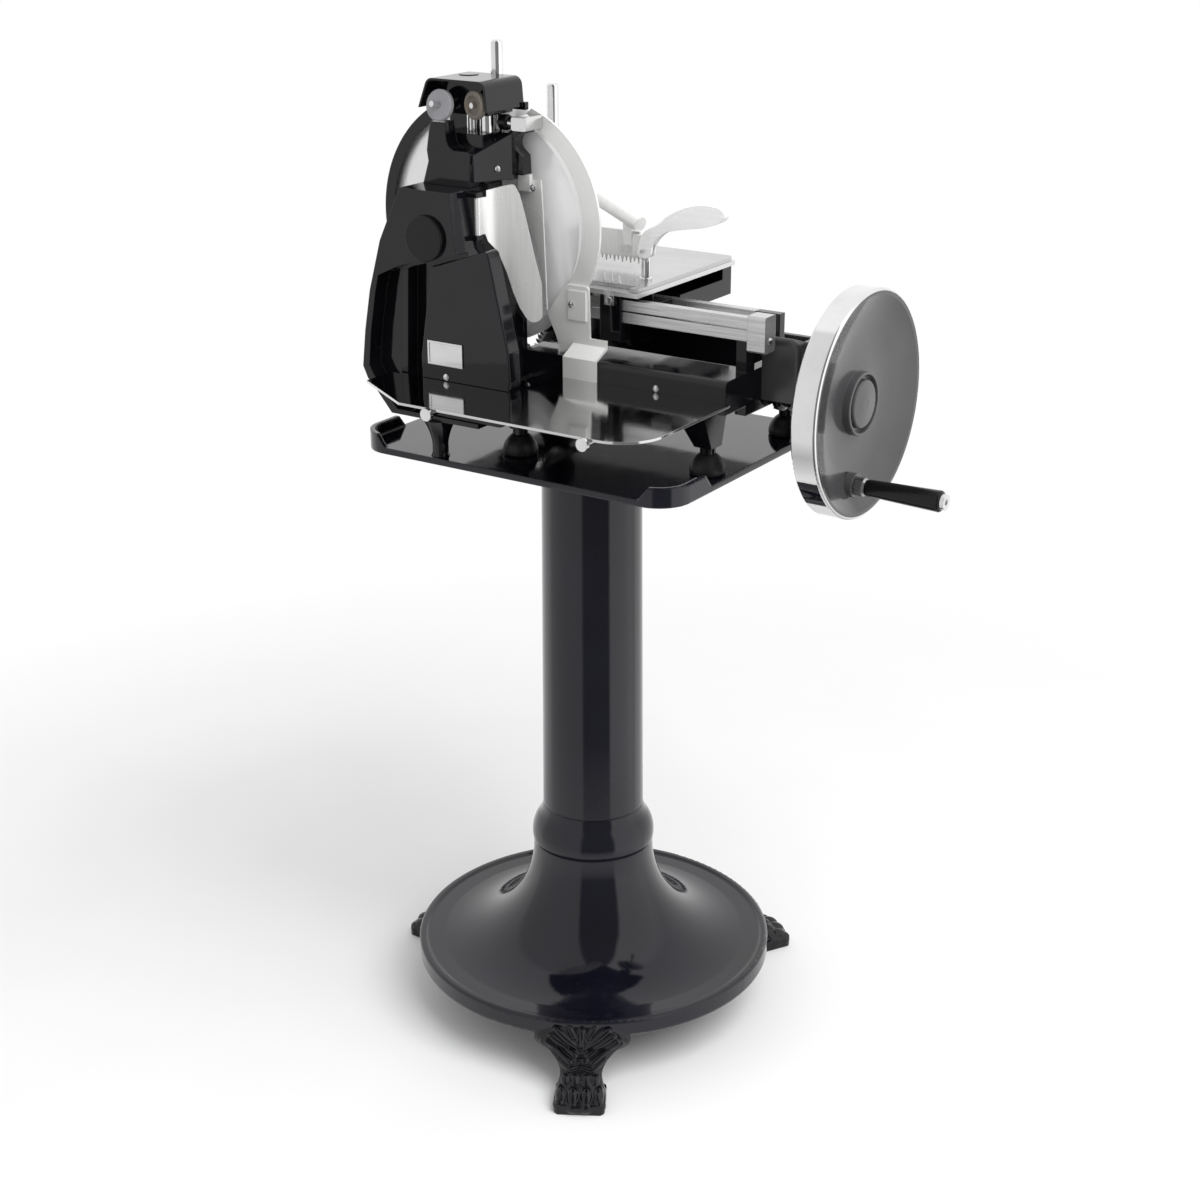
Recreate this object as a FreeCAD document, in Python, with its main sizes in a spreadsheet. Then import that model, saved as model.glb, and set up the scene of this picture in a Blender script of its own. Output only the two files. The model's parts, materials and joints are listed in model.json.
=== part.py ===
import FreeCAD, Part
import math
import os

import Sketcher

Vector = FreeCAD.Vector
Rotation = FreeCAD.Rotation

# Hand crank meat slicer on a pedestal.  Lengths are millimetres, angles degrees.
# X runs along the machine to the flywheel, Y away from the operator, Z up.
# Places are measured from the axis of the pedestal column at floor level; every
# piece is then moved by column_x, column_y so that the origin of the document is
# the middle of the whole machine's footprint.
SIZES = {
    "column_x": -85.8,
    "column_y": 9.9,
    "running_fit": 0.03,
    "slide_fit": 0.05,
    "gap_small": 0.3,
    # Stand
    "disc_radius": 244.0,
    "disc_bottom": 73.5,
    "disc_rim_top": 99.0,
    "disc_step": 3.0,
    "disc_rim_width": 9.0,
    "disc_wall": 8.0,
    "flare_foot_radius": 209.0,
    "flare_top_radius": 82.0,
    "flare_top": 243.0,
    "flare_arc": 140.0,
    "collar_top": 298.0,
    "collar_cove": 34.0,
    "collar_shoulder": 19.0,
    "collar_spread": 7.5,
    "collar_bulge": 45.0,
    "bell_wall": 8.0,
    "column_foot_radius": 68.5,
    "column_top_radius": 65.0,
    "column_wall": 8.0,
    "spigot_depth": 26.0,
    "flange_radius": 105.0,
    "flange_thickness": 12.0,
    "flange_screw_circle": 86.0,
    "flange_screw_radius": 5.0,
    "flange_screw_head": 9.0,
    "flange_screw_bite": 6.0,
    "paw_reach": 313.0,
    "paw_inner": 186.0,
    "paw_width": 68.6,
    "paw_top_width": 118.0,
    "paw_screw_circle": 206.0,
    "paw_screw_radius": 5.0,
    "paw_screw_head": 9.0,
    "paw_flange": 12.0,
    "tray_left": -230.0,
    "tray_right": 235.0,
    "tray_front": -190.0,
    "tray_back": 194.0,
    "tray_bottom": 810.0,
    "tray_thickness": 8.0,
    "tray_corner": 42.0,
    "lip_height": 16.0,
    "lip_thickness": 6.0,
    "lip_bevel": 14.0,
    "lip_left_end": -185.0,
    "lip_right_start": 190.0,
    "lip_front_end": -98.0,
    "lip_back_start": 102.0,
    # Levelling feet
    "foot_radius": 22.0,
    "foot_height": 25.0,
    "foot_stem_radius": 9.5,
    "foot_stem_height": 9.0,
    "foot_inner_x": -30.0,
    "foot_inner_y": -114.0,
    "foot_right_x": 206.0,
    "foot_front_y": -58.0,
    "foot_rear_y": 138.0,
    "foot_left_x": -146.0,
    "strut_x": -108.0,
    "strut_y": -175.0,
    "strut_radius": 10.0,
    "strut_flare": 22.0,
    # Machine base
    "floor_left": -165.0,
    "floor_right": 160.0,
    "web_bottom": 893.0,
    "web_thickness": 15.0,
    "rear_strip_front": 108.0,
    "floor_bottom": 872.0,
    "floor_thickness": 8.0,
    "floor_back": 155.0,
    "base_right": 250.0,
    "block_left": -38.0,
    "block_right": 22.0,
    "block_front": -95.0,
    "block_back": -50.0,
    "block_top": 945.0,
    "beam_bottom": 905.0,
    "beam_top": 945.0,
    "beam_back": -26.0,
    "beam_round": 7.0,
    "leg_front_left": 172.0,
    "leg_front_right": 217.0,
    "leg_back": -30.0,
    "leg_foot_half": 12.0,
    "post_left": 235.0,
    "post_top": 983.0,
    "rail_front": -46.0,
    "rail_back": -34.0,
    "rail_left": -150.0,
    "rail_right": 249.0,
    "rail_bottom": 983.0,
    "rail_bar": 13.0,
    "rail_gap": 2.0,
    "end_block_right": 273.0,
    "end_block_bottom": 970.0,
    "end_block_top": 1014.0,
    "end_block_back": -21.0,
    "rear_rail_front": 32.0,
    "rear_rail_back": 44.0,
    "rear_rail_bottom": 988.0,
    "rear_rail_top": 1000.0,
    "rear_rail_right": 208.0,
    "rear_lug_right": 216.0,
    "side_wall_top": 945.0,
    # Tower
    "tower_front": -190.0,
    "tower_back": -92.0,
    "back_plate": 7.0,
    "tower_foot": 866.0,
    "tower_foot_left": -171.0,
    "tower_right": -38.0,
    "tower_shoulder": 1060.0,
    "head_top": 1146.0,
    "head_left": -146.0,
    "head_right": -72.0,
    "head_lower_right": -65.0,
    "head_bottom": 1078.0,
    "tower_left": -214.0,
    "recess_depth": 22.0,
    "front_wall": 10.0,
    "cover_right": 11.0,
    "cover_foot": 872.4,
    "cover_round": 6.0,
    "badge_left": -110.0,
    "badge_right": -58.0,
    "badge_bottom": 938.0,
    "badge_top": 967.0,
    "badge_thickness": 1.8,
    "badge_frame": 2.5,
    "cap_radius": 27.5,
    "cap_depth": 6.0,
    # Blade and its drive
    "spindle_x": -108.5,
    "spindle_z": 1089.8,
    "spindle_radius": 10.0,
    "blade_radius": 150.0,
    "blade_bevel": 14.0,
    "blade_edge_y": -60.0,
    "blade_web_front": -70.0,
    "blade_web_back": -64.0,
    "blade_bore": 20.0,
    "hub_radius": 45.0,
    "hub_depth": 10.0,
    "shaft_radius": 8.0,
    "bush_wall": 4.0,
    "shaft_z": 904.5,
    "shaft_y": 40.0,
    "gear_module": 2.0,
    "small_gear_teeth": 28.0,
    "idler_teeth": 65.0,
    "gear_back": -138.0,
    "gear_width": 12.0,
    "gear_backlash": 0.4,
    "bevel_backlash": 0.7,
    "bevel_big_teeth": 40.0,
    "bevel_small_teeth": 20.0,
    "bevel_face": 10.0,
    "guard_ring_width": 15.0,
    "guard_outer": 154.0,
    "guard_front": -75.0,
    "guard_back": -57.0,
    "guard_wall": 3.0,
    "ring_x": -83.7,
    "ring_z": 1096.0,
    "ring_outer": 144.1,
    "ring_hole_x": -93.4,
    "ring_hole_z": 1097.1,
    "ring_hole": 128.5,
    "ring_front": -71.5,
    "ring_thickness": 3.5,
    # Upper arm and sharpener
    "arm_front": -150.0,
    "arm_back": -82.0,
    "arm_left": -139.0,
    "arm_top": 1206.0,
    "wing_front": -100.0,
    "rod_x": -76.0,
    "rod_y": -85.0,
    "rod_radius": 7.5,
    "rod_seat": 1165.0,
    "rod_top": 1311.0,
    "hood_left": -145.0,
    "hood_top_left": -131.0,
    "hood_right": -44.0,
    "hood_top_right": -47.0,
    "hood_front": -150.0,
    "hood_back": -76.0,
    "hood_bottom": 1235.0,
    "hood_height": 35.0,
    "hood_sheet": 2.5,
    "hood_round": 11.0,
    "hood_block_drop": 7.0,
    "hood_block_front": -128.0,
    "stone_radius": 18.5,
    "stone_thickness": 8.0,
    "stone_x": -113.6,
    "stone_y": -152.0,
    "stone_z": 1240.0,
    "stone_tilt": 12.0,
    "stone_bore": 3.5,
    "stub_length": 13.0,
    "cup_radius": 16.5,
    "cup_thickness": 9.0,
    "cup_x": -67.0,
    "cup_y": -147.0,
    "cup_z": 1242.0,
    "cup_turn": 14.0,
    "knob_radius": 9.3,
    "knob_y": -97.0,
    "knob_z": 1218.0,
    "deflector_x": -60.0,
    "deflector_y": -151.0,
    # Carriage
    "carriage_left": -150.0,
    "carriage_right": 101.0,
    "carriage_front": -52.0,
    "carriage_back": 182.0,
    "carriage_bottom": 1016.0,
    "carriage_top": 1022.0,
    "table_thickness": 5.0,
    "table_front": -36.0,
    "table_ear": 12.0,
    "guide_front": -50.0,
    "guide_back": -30.0,
    "guide_bottom": 958.0,
    "guide_width": 30.0,
    "guide_right_x": 46.0,
    "guide_left_x": -60.0,
    "side_box_left": 62.0,
    "side_box_front": -18.0,
    "side_box_back": 173.0,
    "side_box_bottom": 980.0,
    "side_box_sill": 1002.0,
    "side_box_wall": 3.0,
    "pillar_x": 80.0,
    "pillar_radius": 5.5,
    "pillar_top": 1051.5,
    "lever_pivot_z": 1064.0,
    "lever_thickness": 12.0,
    "press_post_x": -97.0,
    "press_post_y": 60.0,
    "press_post_radius": 7.7,
    "press_post_top": 1244.0,
    # Receiving plate
    "plate_left": -168.0,
    "plate_right": 256.0,
    "plate_front": -295.0,
    "plate_bottom": 916.0,
    "plate_thickness": 3.0,
    "plate_corner": 55.0,
    "support_radius": 4.0,
    "support_left_x": -30.0,
    "support_right_x": 187.0,
    "support_head": 7.6,
    # Right-hand drive
    "cover_shell": 3.0,
    "gear_cover_left": 250.0,
    "gear_cover_right": 300.0,
    "gear_cover_front": -10.0,
    "gear_cover_back": 85.0,
    "gear_cover_bottom": 905.0,
    "gear_cover_top": 983.0,
    "gear_cover_fall": 33.0,
    "gear_cover_round": 16.0,
    "housing_radius": 24.0,
    "housing_end_radius": 16.0,
    "housing_end": 325.0,
    "wheel_face": 369.5,
    "wheel_radius": 139.0,
    "wheel_width": 32.0,
    "wheel_rim_wall": 3.6,
    "wheel_hub_radius": 26.0,
    "wheel_hub_cap": 29.5,
    "crank_offset_y": -22.0,
    "crank_offset_z": -94.5,
    "crank_pin_radius": 5.0,
    "grip_start": 382.0,
    "grip_length": 97.0,
    "grip_radius": 13.0,
}


class Size:
    """A length with its value now and the formula that keeps it tied to the sheet."""

    def __init__(self, value, formula):
        self.value = float(value)
        self.formula = formula

    def _join(self, other, sign, result):
        return Size(result, f"({self.formula} {sign} {size(other).formula})")

    def __add__(self, other):
        return self._join(other, "+", self.value + size(other).value)

    def __sub__(self, other):
        return self._join(other, "-", self.value - size(other).value)

    def __mul__(self, other):
        return self._join(other, "*", self.value * size(other).value)

    def __truediv__(self, other):
        return self._join(other, "/", self.value / size(other).value)

    def __radd__(self, other):
        return size(other) + self

    def __rsub__(self, other):
        return size(other) - self

    def __rmul__(self, other):
        return size(other) * self

    def __neg__(self):
        return size(0) - self


def size(value):
    """A plain number stands for itself."""
    if isinstance(value, Size):
        return value
    return Size(value, f"({float(value):.6f})")


def root_of(value):
    return Size(math.sqrt(value.value), f"sqrt({value.formula})")


class Sheet:
    """Every driving size by its name."""

    def __init__(self, document, values):
        self.cells = document.addObject("Spreadsheet::Sheet", "sizes")
        for row, (name, value) in enumerate(values.items(), start=1):
            self.cells.set(f"A{row}", name)
            self.cells.set(f"B{row}", str(value))
            self.cells.setAlias(f"B{row}", name)
        document.recompute()

    def __getattr__(self, name):
        return Size(getattr(self.cells, name), f"sizes.{name}")


doc = FreeCAD.newDocument("hand_crank_slicer")
s = Sheet(doc, SIZES)
s.tray_top = s.tray_bottom + s.tray_thickness
s.foot_stem_top = s.tray_top + s.foot_height + s.foot_stem_height
s.hood_top = s.hood_bottom + s.hood_height
s.hood_block_bottom = s.hood_bottom - s.hood_block_drop
s.wheel_disc_radius = s.wheel_radius - s.wheel_rim_wall
NODES = {}
TURN_TO = {
    "X": Rotation(Vector(0, 1, 0), 90),
    "Y": Rotation(Vector(1, 0, 0), -90),
    "Z": Rotation(),
}


def bind(item, prop, value):
    item.setExpression(prop, size(value).formula)


def put(item, at, rotation=None):
    """Places an object at a point measured from the column's foot."""
    placed = (s.column_x + at[0], s.column_y + at[1], size(at[2]))
    item.Placement = FreeCAD.Placement(Vector(*(p.value for p in placed)), rotation or Rotation())
    for axis, value in zip("xyz", placed):
        bind(item, f"Placement.Base.{axis}", value)
    return item


def node(label, item):
    """Names a finished piece."""
    item.Label = label
    NODES[label] = item
    return item


def cylinder(name, radius, length, at, axis="Z"):
    item = doc.addObject("Part::Cylinder", name)
    bind(item, "Radius", radius)
    bind(item, "Height", length)
    return put(item, at, TURN_TO[axis])


def cone(name, radius_1, radius_2, length, at, axis="Z"):
    item = doc.addObject("Part::Cone", name)
    bind(item, "Radius1", radius_1)
    bind(item, "Radius2", radius_2)
    bind(item, "Height", length)
    return put(item, at, TURN_TO[axis])


def box(name, x, y, z):
    """A block between two limits on each axis."""
    item = doc.addObject("Part::Box", name)
    for prop, (low, high) in zip(("Length", "Width", "Height"), (x, y, z)):
        bind(item, prop, size(high) - low)
    return put(item, (x[0], y[0], z[0]))


def fuse(name, *pieces):
    item = doc.addObject("Part::MultiFuse", name)
    item.Shapes = list(pieces)
    item.Refine = True
    return item


def group(name, *pieces):
    """Identical pieces that stay separate solids of one node."""
    item = doc.addObject("Part::Compound", name)
    item.Links = list(pieces)
    return item


def cut(name, base, *tools):
    item = doc.addObject("Part::Cut", name)
    item.Base = base
    item.Tool = tools[0] if len(tools) == 1 else fuse(name + "_tools", *tools)
    item.Refine = True
    return item


def origin_plane(body, role):
    return next(item for item in body.Origin.OriginFeatures if item.Role == role)


def arc_through(start, end, radius):
    """An arc of the given radius; a negative radius bends clockwise."""
    chord = end - start
    rise = math.sqrt(max(radius * radius - chord.Length ** 2 / 4, 0))
    side = Vector(-chord.y, chord.x, 0).normalize() * (rise if radius > 0 else -rise)
    centre = (start + end) / 2 + side
    first, last = (start, end) if radius > 0 else (end, start)
    angles = [math.atan2(p.y - centre.y, p.x - centre.x) for p in (first, last)]
    if angles[1] < angles[0]:
        angles[1] += 2 * math.pi
    circle = Part.Circle(centre, Vector(0, 0, 1), abs(radius))
    return Part.ArcOfCircle(circle, angles[0], angles[1])


def draw_loop(sketch, corners):
    """Closed outline: corners (u, v), or (u, v, radius) where an arc leads to the next."""
    first = sketch.GeometryCount
    points = [Vector(size(c[0]).value, size(c[1]).value, 0) for c in corners]
    count = len(corners)
    starts = []
    for i, corner in enumerate(corners):
        start, end = points[i], points[(i + 1) % count]
        if len(corner) == 3:
            radius = size(corner[2])
            sketch.addGeometry(arc_through(start, end, radius.value))
            starts.append((1, 2) if radius.value > 0 else (2, 1))
        else:
            sketch.addGeometry(Part.LineSegment(start, end))
            starts.append((1, 2))
    for i in range(count):
        follower = (i + 1) % count
        joint = Sketcher.Constraint("Coincident", first + i, starts[i][1],
                                    first + follower, starts[follower][0])
        sketch.addConstraint(joint)
    for i, corner in enumerate(corners):
        fix_point(sketch, first + i, starts[i][0], corner)
        if len(corner) == 3:
            radius = size(corner[2])
            index = sketch.addConstraint(
                Sketcher.Constraint("Radius", first + i, abs(radius.value)))
            name = f"radius_{first + i}"
            sketch.renameConstraint(index, name)
            formula = radius.formula if radius.value > 0 else f"(0 - {radius.formula})"
            sketch.setExpression("Constraints." + name, formula)


def fix_point(sketch, geometry, end, corner):
    """Ties one sketch point to its two sizes."""
    for kind, value, axis in (("DistanceX", corner[0], -2), ("DistanceY", corner[1], -1)):
        value = size(value)
        if value.value == 0:
            sketch.addConstraint(Sketcher.Constraint("PointOnObject", geometry, end, axis))
            continue
        index = sketch.addConstraint(
            Sketcher.Constraint(kind, -1, 1, geometry, end, value.value))
        name = f"{kind}_{geometry}"
        sketch.renameConstraint(index, name)
        sketch.setExpression("Constraints." + name, value.formula)


def draw_circle(sketch, centre, radius):
    point = Vector(size(centre[0]).value, size(centre[1]).value, 0)
    circle = Part.Circle(point, Vector(0, 0, 1), size(radius).value)
    geometry = sketch.addGeometry(circle)
    fix_point(sketch, geometry, 3, centre)
    index = sketch.addConstraint(Sketcher.Constraint("Radius", geometry, size(radius).value))
    name = f"radius_{geometry}"
    sketch.renameConstraint(index, name)
    sketch.setExpression("Constraints." + name, size(radius).formula)


def sketch_on(body, role, name, loops=(), circles=()):
    sketch = body.newObject("Sketcher::SketchObject", name)
    sketch.AttachmentSupport = [(origin_plane(body, role), "")]
    sketch.MapMode = "FlatFace"
    for loop in loops:
        draw_loop(sketch, loop)
    for centre, radius in circles:
        draw_circle(sketch, centre, radius)
    return sketch


# Drawing planes: the sketch's plane, and whether a pad must be turned round to
# grow towards the positive axis.
PLANES = {"XY": ("XY_Plane", False), "XZ": ("XZ_Plane", True), "YZ": ("YZ_Plane", False)}


def plate(name, plane, depth, at, loops, circles=(), at_rotation=None):
    """A body of one pad that grows along the positive normal of its plane."""
    role, turned_round = PLANES[plane]
    body = doc.addObject("PartDesign::Body", name)
    sketch = sketch_on(body, role, name + "_outline", loops, circles)
    pad = body.newObject("PartDesign::Pad", name + "_pad")
    pad.Profile = sketch
    bind(pad, "Length", depth)
    pad.Reversed = turned_round
    return put(body, at, at_rotation)


def add_pad(body, name, plane, depth, loops, circles=()):
    """A second pad on the same plane of the body."""
    role, turned_round = PLANES[plane]
    sketch = sketch_on(body, role, name + "_outline", loops, circles)
    pad = body.newObject("PartDesign::Pad", name)
    pad.Profile = sketch
    bind(pad, "Length", depth)
    pad.Reversed = turned_round
    return pad


def add_pocket(body, name, plane, depth, loops=(), circles=(), both_ways=False):
    """A pocket that goes from the plane into the pad."""
    role, turned_round = PLANES[plane]
    sketch = sketch_on(body, role, name + "_outline", loops, circles)
    pocket = body.newObject("PartDesign::Pocket", name)
    pocket.Profile = sketch
    bind(pocket, "Length", depth)
    if both_ways:
        pocket.SideType = "Symmetric"
    pocket.Reversed = not turned_round
    return pocket


def turned(name, profile, at, axis="Z", rotation=None, sweep=360):
    """A body turned about an axis; the profile is (radius, distance along the axis)."""
    body = doc.addObject("PartDesign::Body", name)
    sketch = sketch_on(body, "XZ_Plane", name + "_profile", [profile])
    revolution = body.newObject("PartDesign::Revolution", name + "_turn")
    revolution.Profile = sketch
    revolution.ReferenceAxis = (sketch, ["V_Axis"])
    revolution.Angle = sweep
    return put(body, at, rotation or TURN_TO[axis])


def shape_piece(name, shape, at, rotation=None):
    """A piece whose surface needs Part's own functions."""
    item = doc.addObject("Part::Feature", name)
    item.Shape = shape
    return put(item, at, rotation)


def rounded_edges(body, radius, choose):
    """Rounds the chosen edges of the body's last feature."""
    doc.recompute()
    tip = body.Tip
    names = [f"Edge{i}" for i, edge in enumerate(tip.Shape.Edges, start=1) if choose(edge)]
    fillet = body.newObject("PartDesign::Fillet", tip.Name + "_round")
    fillet.Base = (tip, names)
    bind(fillet, "Radius", radius)
    return fillet


def polar(radius, angle):
    """Point at an angle on a circle whose radius is a size."""
    turn = math.radians(angle)
    return radius * math.cos(turn), radius * math.sin(turn)


def rounded_rectangle(left, right, front, back, corner):
    return [
        (left + corner, front),
        (right - corner, front, corner),
        (right, front + corner),
        (right, back - corner, corner),
        (right - corner, back),
        (left + corner, back, corner),
        (left, back - corner),
        (left, front + corner, corner),
    ]


# ---------------------------------------------------------------- stand

def make_pedestal():
    """Cast bell with a rimmed disc, and the round column that stands in its collar."""
    rim_inner = s.disc_radius - s.disc_rim_width
    ledge = s.disc_rim_top - s.disc_step
    under = s.disc_rim_top - s.disc_step - s.disc_wall
    bell = [
        (s.column_foot_radius - s.column_wall, s.collar_top),
        (s.column_foot_radius, s.collar_top, s.collar_cove),
        (s.column_foot_radius + s.collar_spread, s.collar_top - s.collar_shoulder, -s.collar_bulge),
        (s.flare_top_radius, s.flare_top, s.flare_arc),
        (s.flare_foot_radius, ledge),
        (rim_inner - 3, ledge),
        (rim_inner, s.disc_rim_top),
        (s.disc_radius - 4, s.disc_rim_top, -4),
        (s.disc_radius, s.disc_rim_top - 4),
        (s.disc_radius, s.disc_bottom + 4, -4),
        (s.disc_radius - 4, s.disc_bottom),
        (s.disc_radius - s.disc_wall - 4, s.disc_bottom),
        (s.disc_radius - s.disc_wall - 4, under),
        (s.flare_foot_radius - 4, under, -(s.flare_arc + s.bell_wall)),
        (s.flare_top_radius - s.bell_wall, s.flare_top),
        (s.column_foot_radius - s.column_wall, s.collar_top - s.spigot_depth - 4),
    ]
    node("pedestal_base", turned("bell", bell, (0, 0, 0)))
    bore = s.column_foot_radius - 2 * s.column_wall
    flange_bottom = s.tray_bottom - s.flange_thickness
    column = [
        (bore, s.collar_top - s.spigot_depth),
        (s.column_foot_radius - s.column_wall, s.collar_top - s.spigot_depth),
        (s.column_foot_radius - s.column_wall, s.collar_top),
        (s.column_foot_radius, s.collar_top),
        (s.column_top_radius, flange_bottom),
        (s.flange_radius, flange_bottom),
        (s.flange_radius, s.tray_bottom),
        (bore, s.tray_bottom),
    ]
    blank = turned("column", column, (0, 0, 0))
    holes = [cylinder("flange_hole", s.flange_screw_radius, s.flange_thickness,
                      (*polar(s.flange_screw_circle, a), flange_bottom)) for a in range(45, 360, 90)]
    node("pedestal_column", cut("column_with_flange", blank, *holes))


def superellipse(half_long, half_wide, power=2.6, count=24):
    """Points round a rounded foot section."""
    points = []
    for i in range(count):
        turn = 2 * math.pi * i / count
        c, d = math.cos(turn), math.sin(turn)
        points.append((math.copysign(abs(c) ** (2 / power), c) * half_long,
                       math.copysign(abs(d) ** (2 / power), d) * half_wide))
    return points


def paw_section(z, inner, outer, width):
    """Closed smooth outline of the leg at one height, along the leg's own X."""
    middle, half = (inner + outer) / 2, (outer - inner) / 2
    points = [Vector(middle + u, v, z) for u, v in superellipse(half, width / 2)]
    curve = Part.BSplineCurve()
    curve.interpolate(points, PeriodicFlag=True)
    return Part.Wire(curve.toShape())


def paw_shape():
    """Lion paw: broad shoulder under the disc, narrow ankle, wide foot with four toes."""
    bottom = s.disc_bottom.value
    reach = s.paw_reach.value
    inner = s.paw_inner.value
    shoulder = s.paw_top_width.value
    width = s.paw_width.value
    rim = s.disc_radius.value
    sections = [
        (0.0, reach - 50, reach - 6, width - 8),
        (8.0, reach - 53, reach - 2, width),
        (22.0, reach - 58, reach - 10, width - 6),
        (34.0, rim + 3, reach - 30, width - 14),
        (46.0, rim - 26, rim + 26, width),
        (60.0, rim - 44, rim + 12, shoulder - 22),
        (bottom, rim - 52, rim - 2, shoulder),
    ]
    foot = Part.makeLoft([paw_section(*section) for section in sections], True, False)
    toes = []
    for i, spread in enumerate((-0.375, -0.125, 0.125, 0.375)):
        outer = reach - (9 if i in (1, 2) else 13)
        toe = Part.makeSphere(9, Vector(outer - 0.5, spread * width, 9.6), Vector(1, 0, 0))
        toes.append(toe.common(Part.makeBox(60, 200, 40, Vector(reach - 60, -100, 0))))
    flange = Part.makeBox(34, shoulder * 0.6, s.paw_flange.value,
                          Vector(inner, -shoulder * 0.3, bottom - s.paw_flange.value + 0))
    paw = foot.fuse(toes + [flange]).removeSplitter()
    return paw


def make_paws():
    """Three feet screwed up into the rim from below."""
    under = s.disc_rim_top - s.disc_step - s.disc_wall
    pad_height = under - s.disc_bottom
    screws = []
    for label, angle in (("paw_foot_front", -60), ("paw_foot_right", 60), ("paw_foot_left", 180)):
        turn = Rotation(Vector(0, 0, 1), angle)
        paw = shape_piece(label + "_casting", paw_shape(), (0, 0, 0), turn)
        place = polar(s.paw_screw_circle, angle)
        boss = cylinder(label + "_boss", s.paw_screw_head + 2, pad_height, (*place, s.disc_bottom))
        hole = cylinder(label + "_hole", s.paw_screw_radius, under, (*place, 0))
        sink = cylinder(label + "_sink", s.paw_screw_head + 1, s.disc_bottom - s.paw_flange / 2,
                        (*place, 0))
        node(label, cut(label, fuse(label + "_blank", paw, boss), hole, sink))
        top = s.disc_bottom - s.paw_flange / 2
        screws.append(fuse(
            label + "_screw",
            cylinder(label + "_screw_head", s.paw_screw_head, 7, (*place, top - 7)),
            cylinder(label + "_screw_shank", s.paw_screw_radius, under - top, (*place, top))))
    return screws


def make_tray():
    """Flat tray with a raised lip round each corner only."""
    depth = s.tray_top - s.tray_bottom
    lip_top = depth + s.lip_height
    outline = rounded_rectangle(s.tray_left, s.tray_right, s.tray_front, s.tray_back, s.tray_corner)
    inner = rounded_rectangle(s.tray_left + s.lip_thickness, s.tray_right - s.lip_thickness,
                              s.tray_front + s.lip_thickness, s.tray_back - s.lip_thickness,
                              s.tray_corner - s.lip_thickness)
    body = plate("tray", "XY", depth, (0, 0, s.tray_bottom), [outline])
    add_pad(body, "tray_lip", "XY", lip_top, [outline, inner])
    for name, plane, low, high, reach in (
            ("tray_front_gap", "XZ", s.lip_left_end, s.lip_right_start, s.tray_back - s.tray_front),
            ("tray_side_gap", "YZ", s.lip_front_end, s.lip_back_start, s.tray_right - s.tray_left)):
        gap = [
            (low, depth),
            (high, depth),
            (high + s.lip_bevel, lip_top + 1),
            (low - s.lip_bevel, lip_top + 1),
        ]
        add_pocket(body, name, plane, reach * 2, [gap], both_ways=True)
    flange_bottom = s.tray_bottom - s.flange_thickness
    shank = s.flange_thickness + s.flange_screw_bite
    holes = []
    screws = []
    for angle in range(45, 360, 90):
        place = polar(s.flange_screw_circle, angle)
        holes.append(cylinder("tray_hole", s.flange_screw_radius, s.flange_screw_bite,
                              (*place, s.tray_bottom)))
        screws.append(fuse(
            "tray_screw",
            cylinder("tray_screw_head", s.flange_screw_head, 7, (*place, flange_bottom - 7)),
            cylinder("tray_screw_shank", s.flange_screw_radius, shank, (*place, flange_bottom))))
    node("stand_tray", cut("tray_drilled", body, *holes))
    return screws


def make_levelling_feet():
    """Rubber domes under the four corners, each on a steel stem, and a plain front strut."""
    places = [
        (s.foot_inner_x, s.foot_inner_y),
        (s.foot_right_x, s.foot_front_y),
        (s.foot_right_x, s.foot_rear_y),
        (s.foot_left_x, s.foot_rear_y),
    ]
    dome_top = s.tray_top + s.foot_height
    dome = [
        (0, 0),
        (s.foot_radius - 1.5, 0),
        (s.foot_radius, 2),
        (s.foot_radius, 6, s.foot_radius * 1.15),
        (s.foot_stem_radius + 1, s.foot_height),
        (0, s.foot_height),
    ]
    domes = []
    stems = []
    for i, place in enumerate(places):
        domes.append(turned(f"rubber_foot_{i}", dome, (*place, s.tray_top)))
        stems.append(cylinder(f"foot_stem_{i}", s.foot_stem_radius, s.foot_stem_top - dome_top,
                              (*place, dome_top)))
    strut_height = s.tower_foot - s.tray_top
    strut = [
        (0, 0),
        (s.strut_radius + 2, 0),
        (s.strut_radius, 4),
        (s.strut_radius, strut_height * 0.35, -70),
        (s.strut_flare, strut_height),
        (0, strut_height),
    ]
    stems.append(turned("front_strut", strut, (s.strut_x, s.strut_y, s.tray_top)))
    node("levelling_feet", group("levelling_feet_set", *domes))
    node("foot_stems", group("foot_stem_set", *stems))


# ---------------------------------------------------------------- machine base

def leg_shape(top, bottom, height):
    """A cast leg between two rectangles (left, right, front, back)."""
    wires = []
    for (left, right, front, back), level in ((bottom, 0), (top, height)):
        corners = [Vector(left, front, level), Vector(right, front, level),
                   Vector(right, back, level), Vector(left, back, level)]
        wires.append(Part.makePolygon(corners + corners[:1]))
    return Part.makeLoft(wires, True, True)


def make_leg(name, top, foot_x, foot_y, top_z):
    """Leg that narrows from the casting to its levelling stem."""
    half = s.leg_foot_half.value
    x, y = foot_x.value, foot_y.value
    bottom = (x - half, x + half, y - half, y + half)
    height = top_z.value - s.foot_stem_top.value
    values = tuple(size(edge).value for edge in top)
    return shape_piece(name, leg_shape(values, bottom, height), (0, 0, s.foot_stem_top))


def bearing_block(name, x, y):
    """Upright block with a bush seat for a shaft at the drive's height."""
    top = s.shaft_z + s.shaft_radius + s.bush_wall + 6
    return box(name, x, y, (s.floor_bottom + s.floor_thickness, top))


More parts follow.
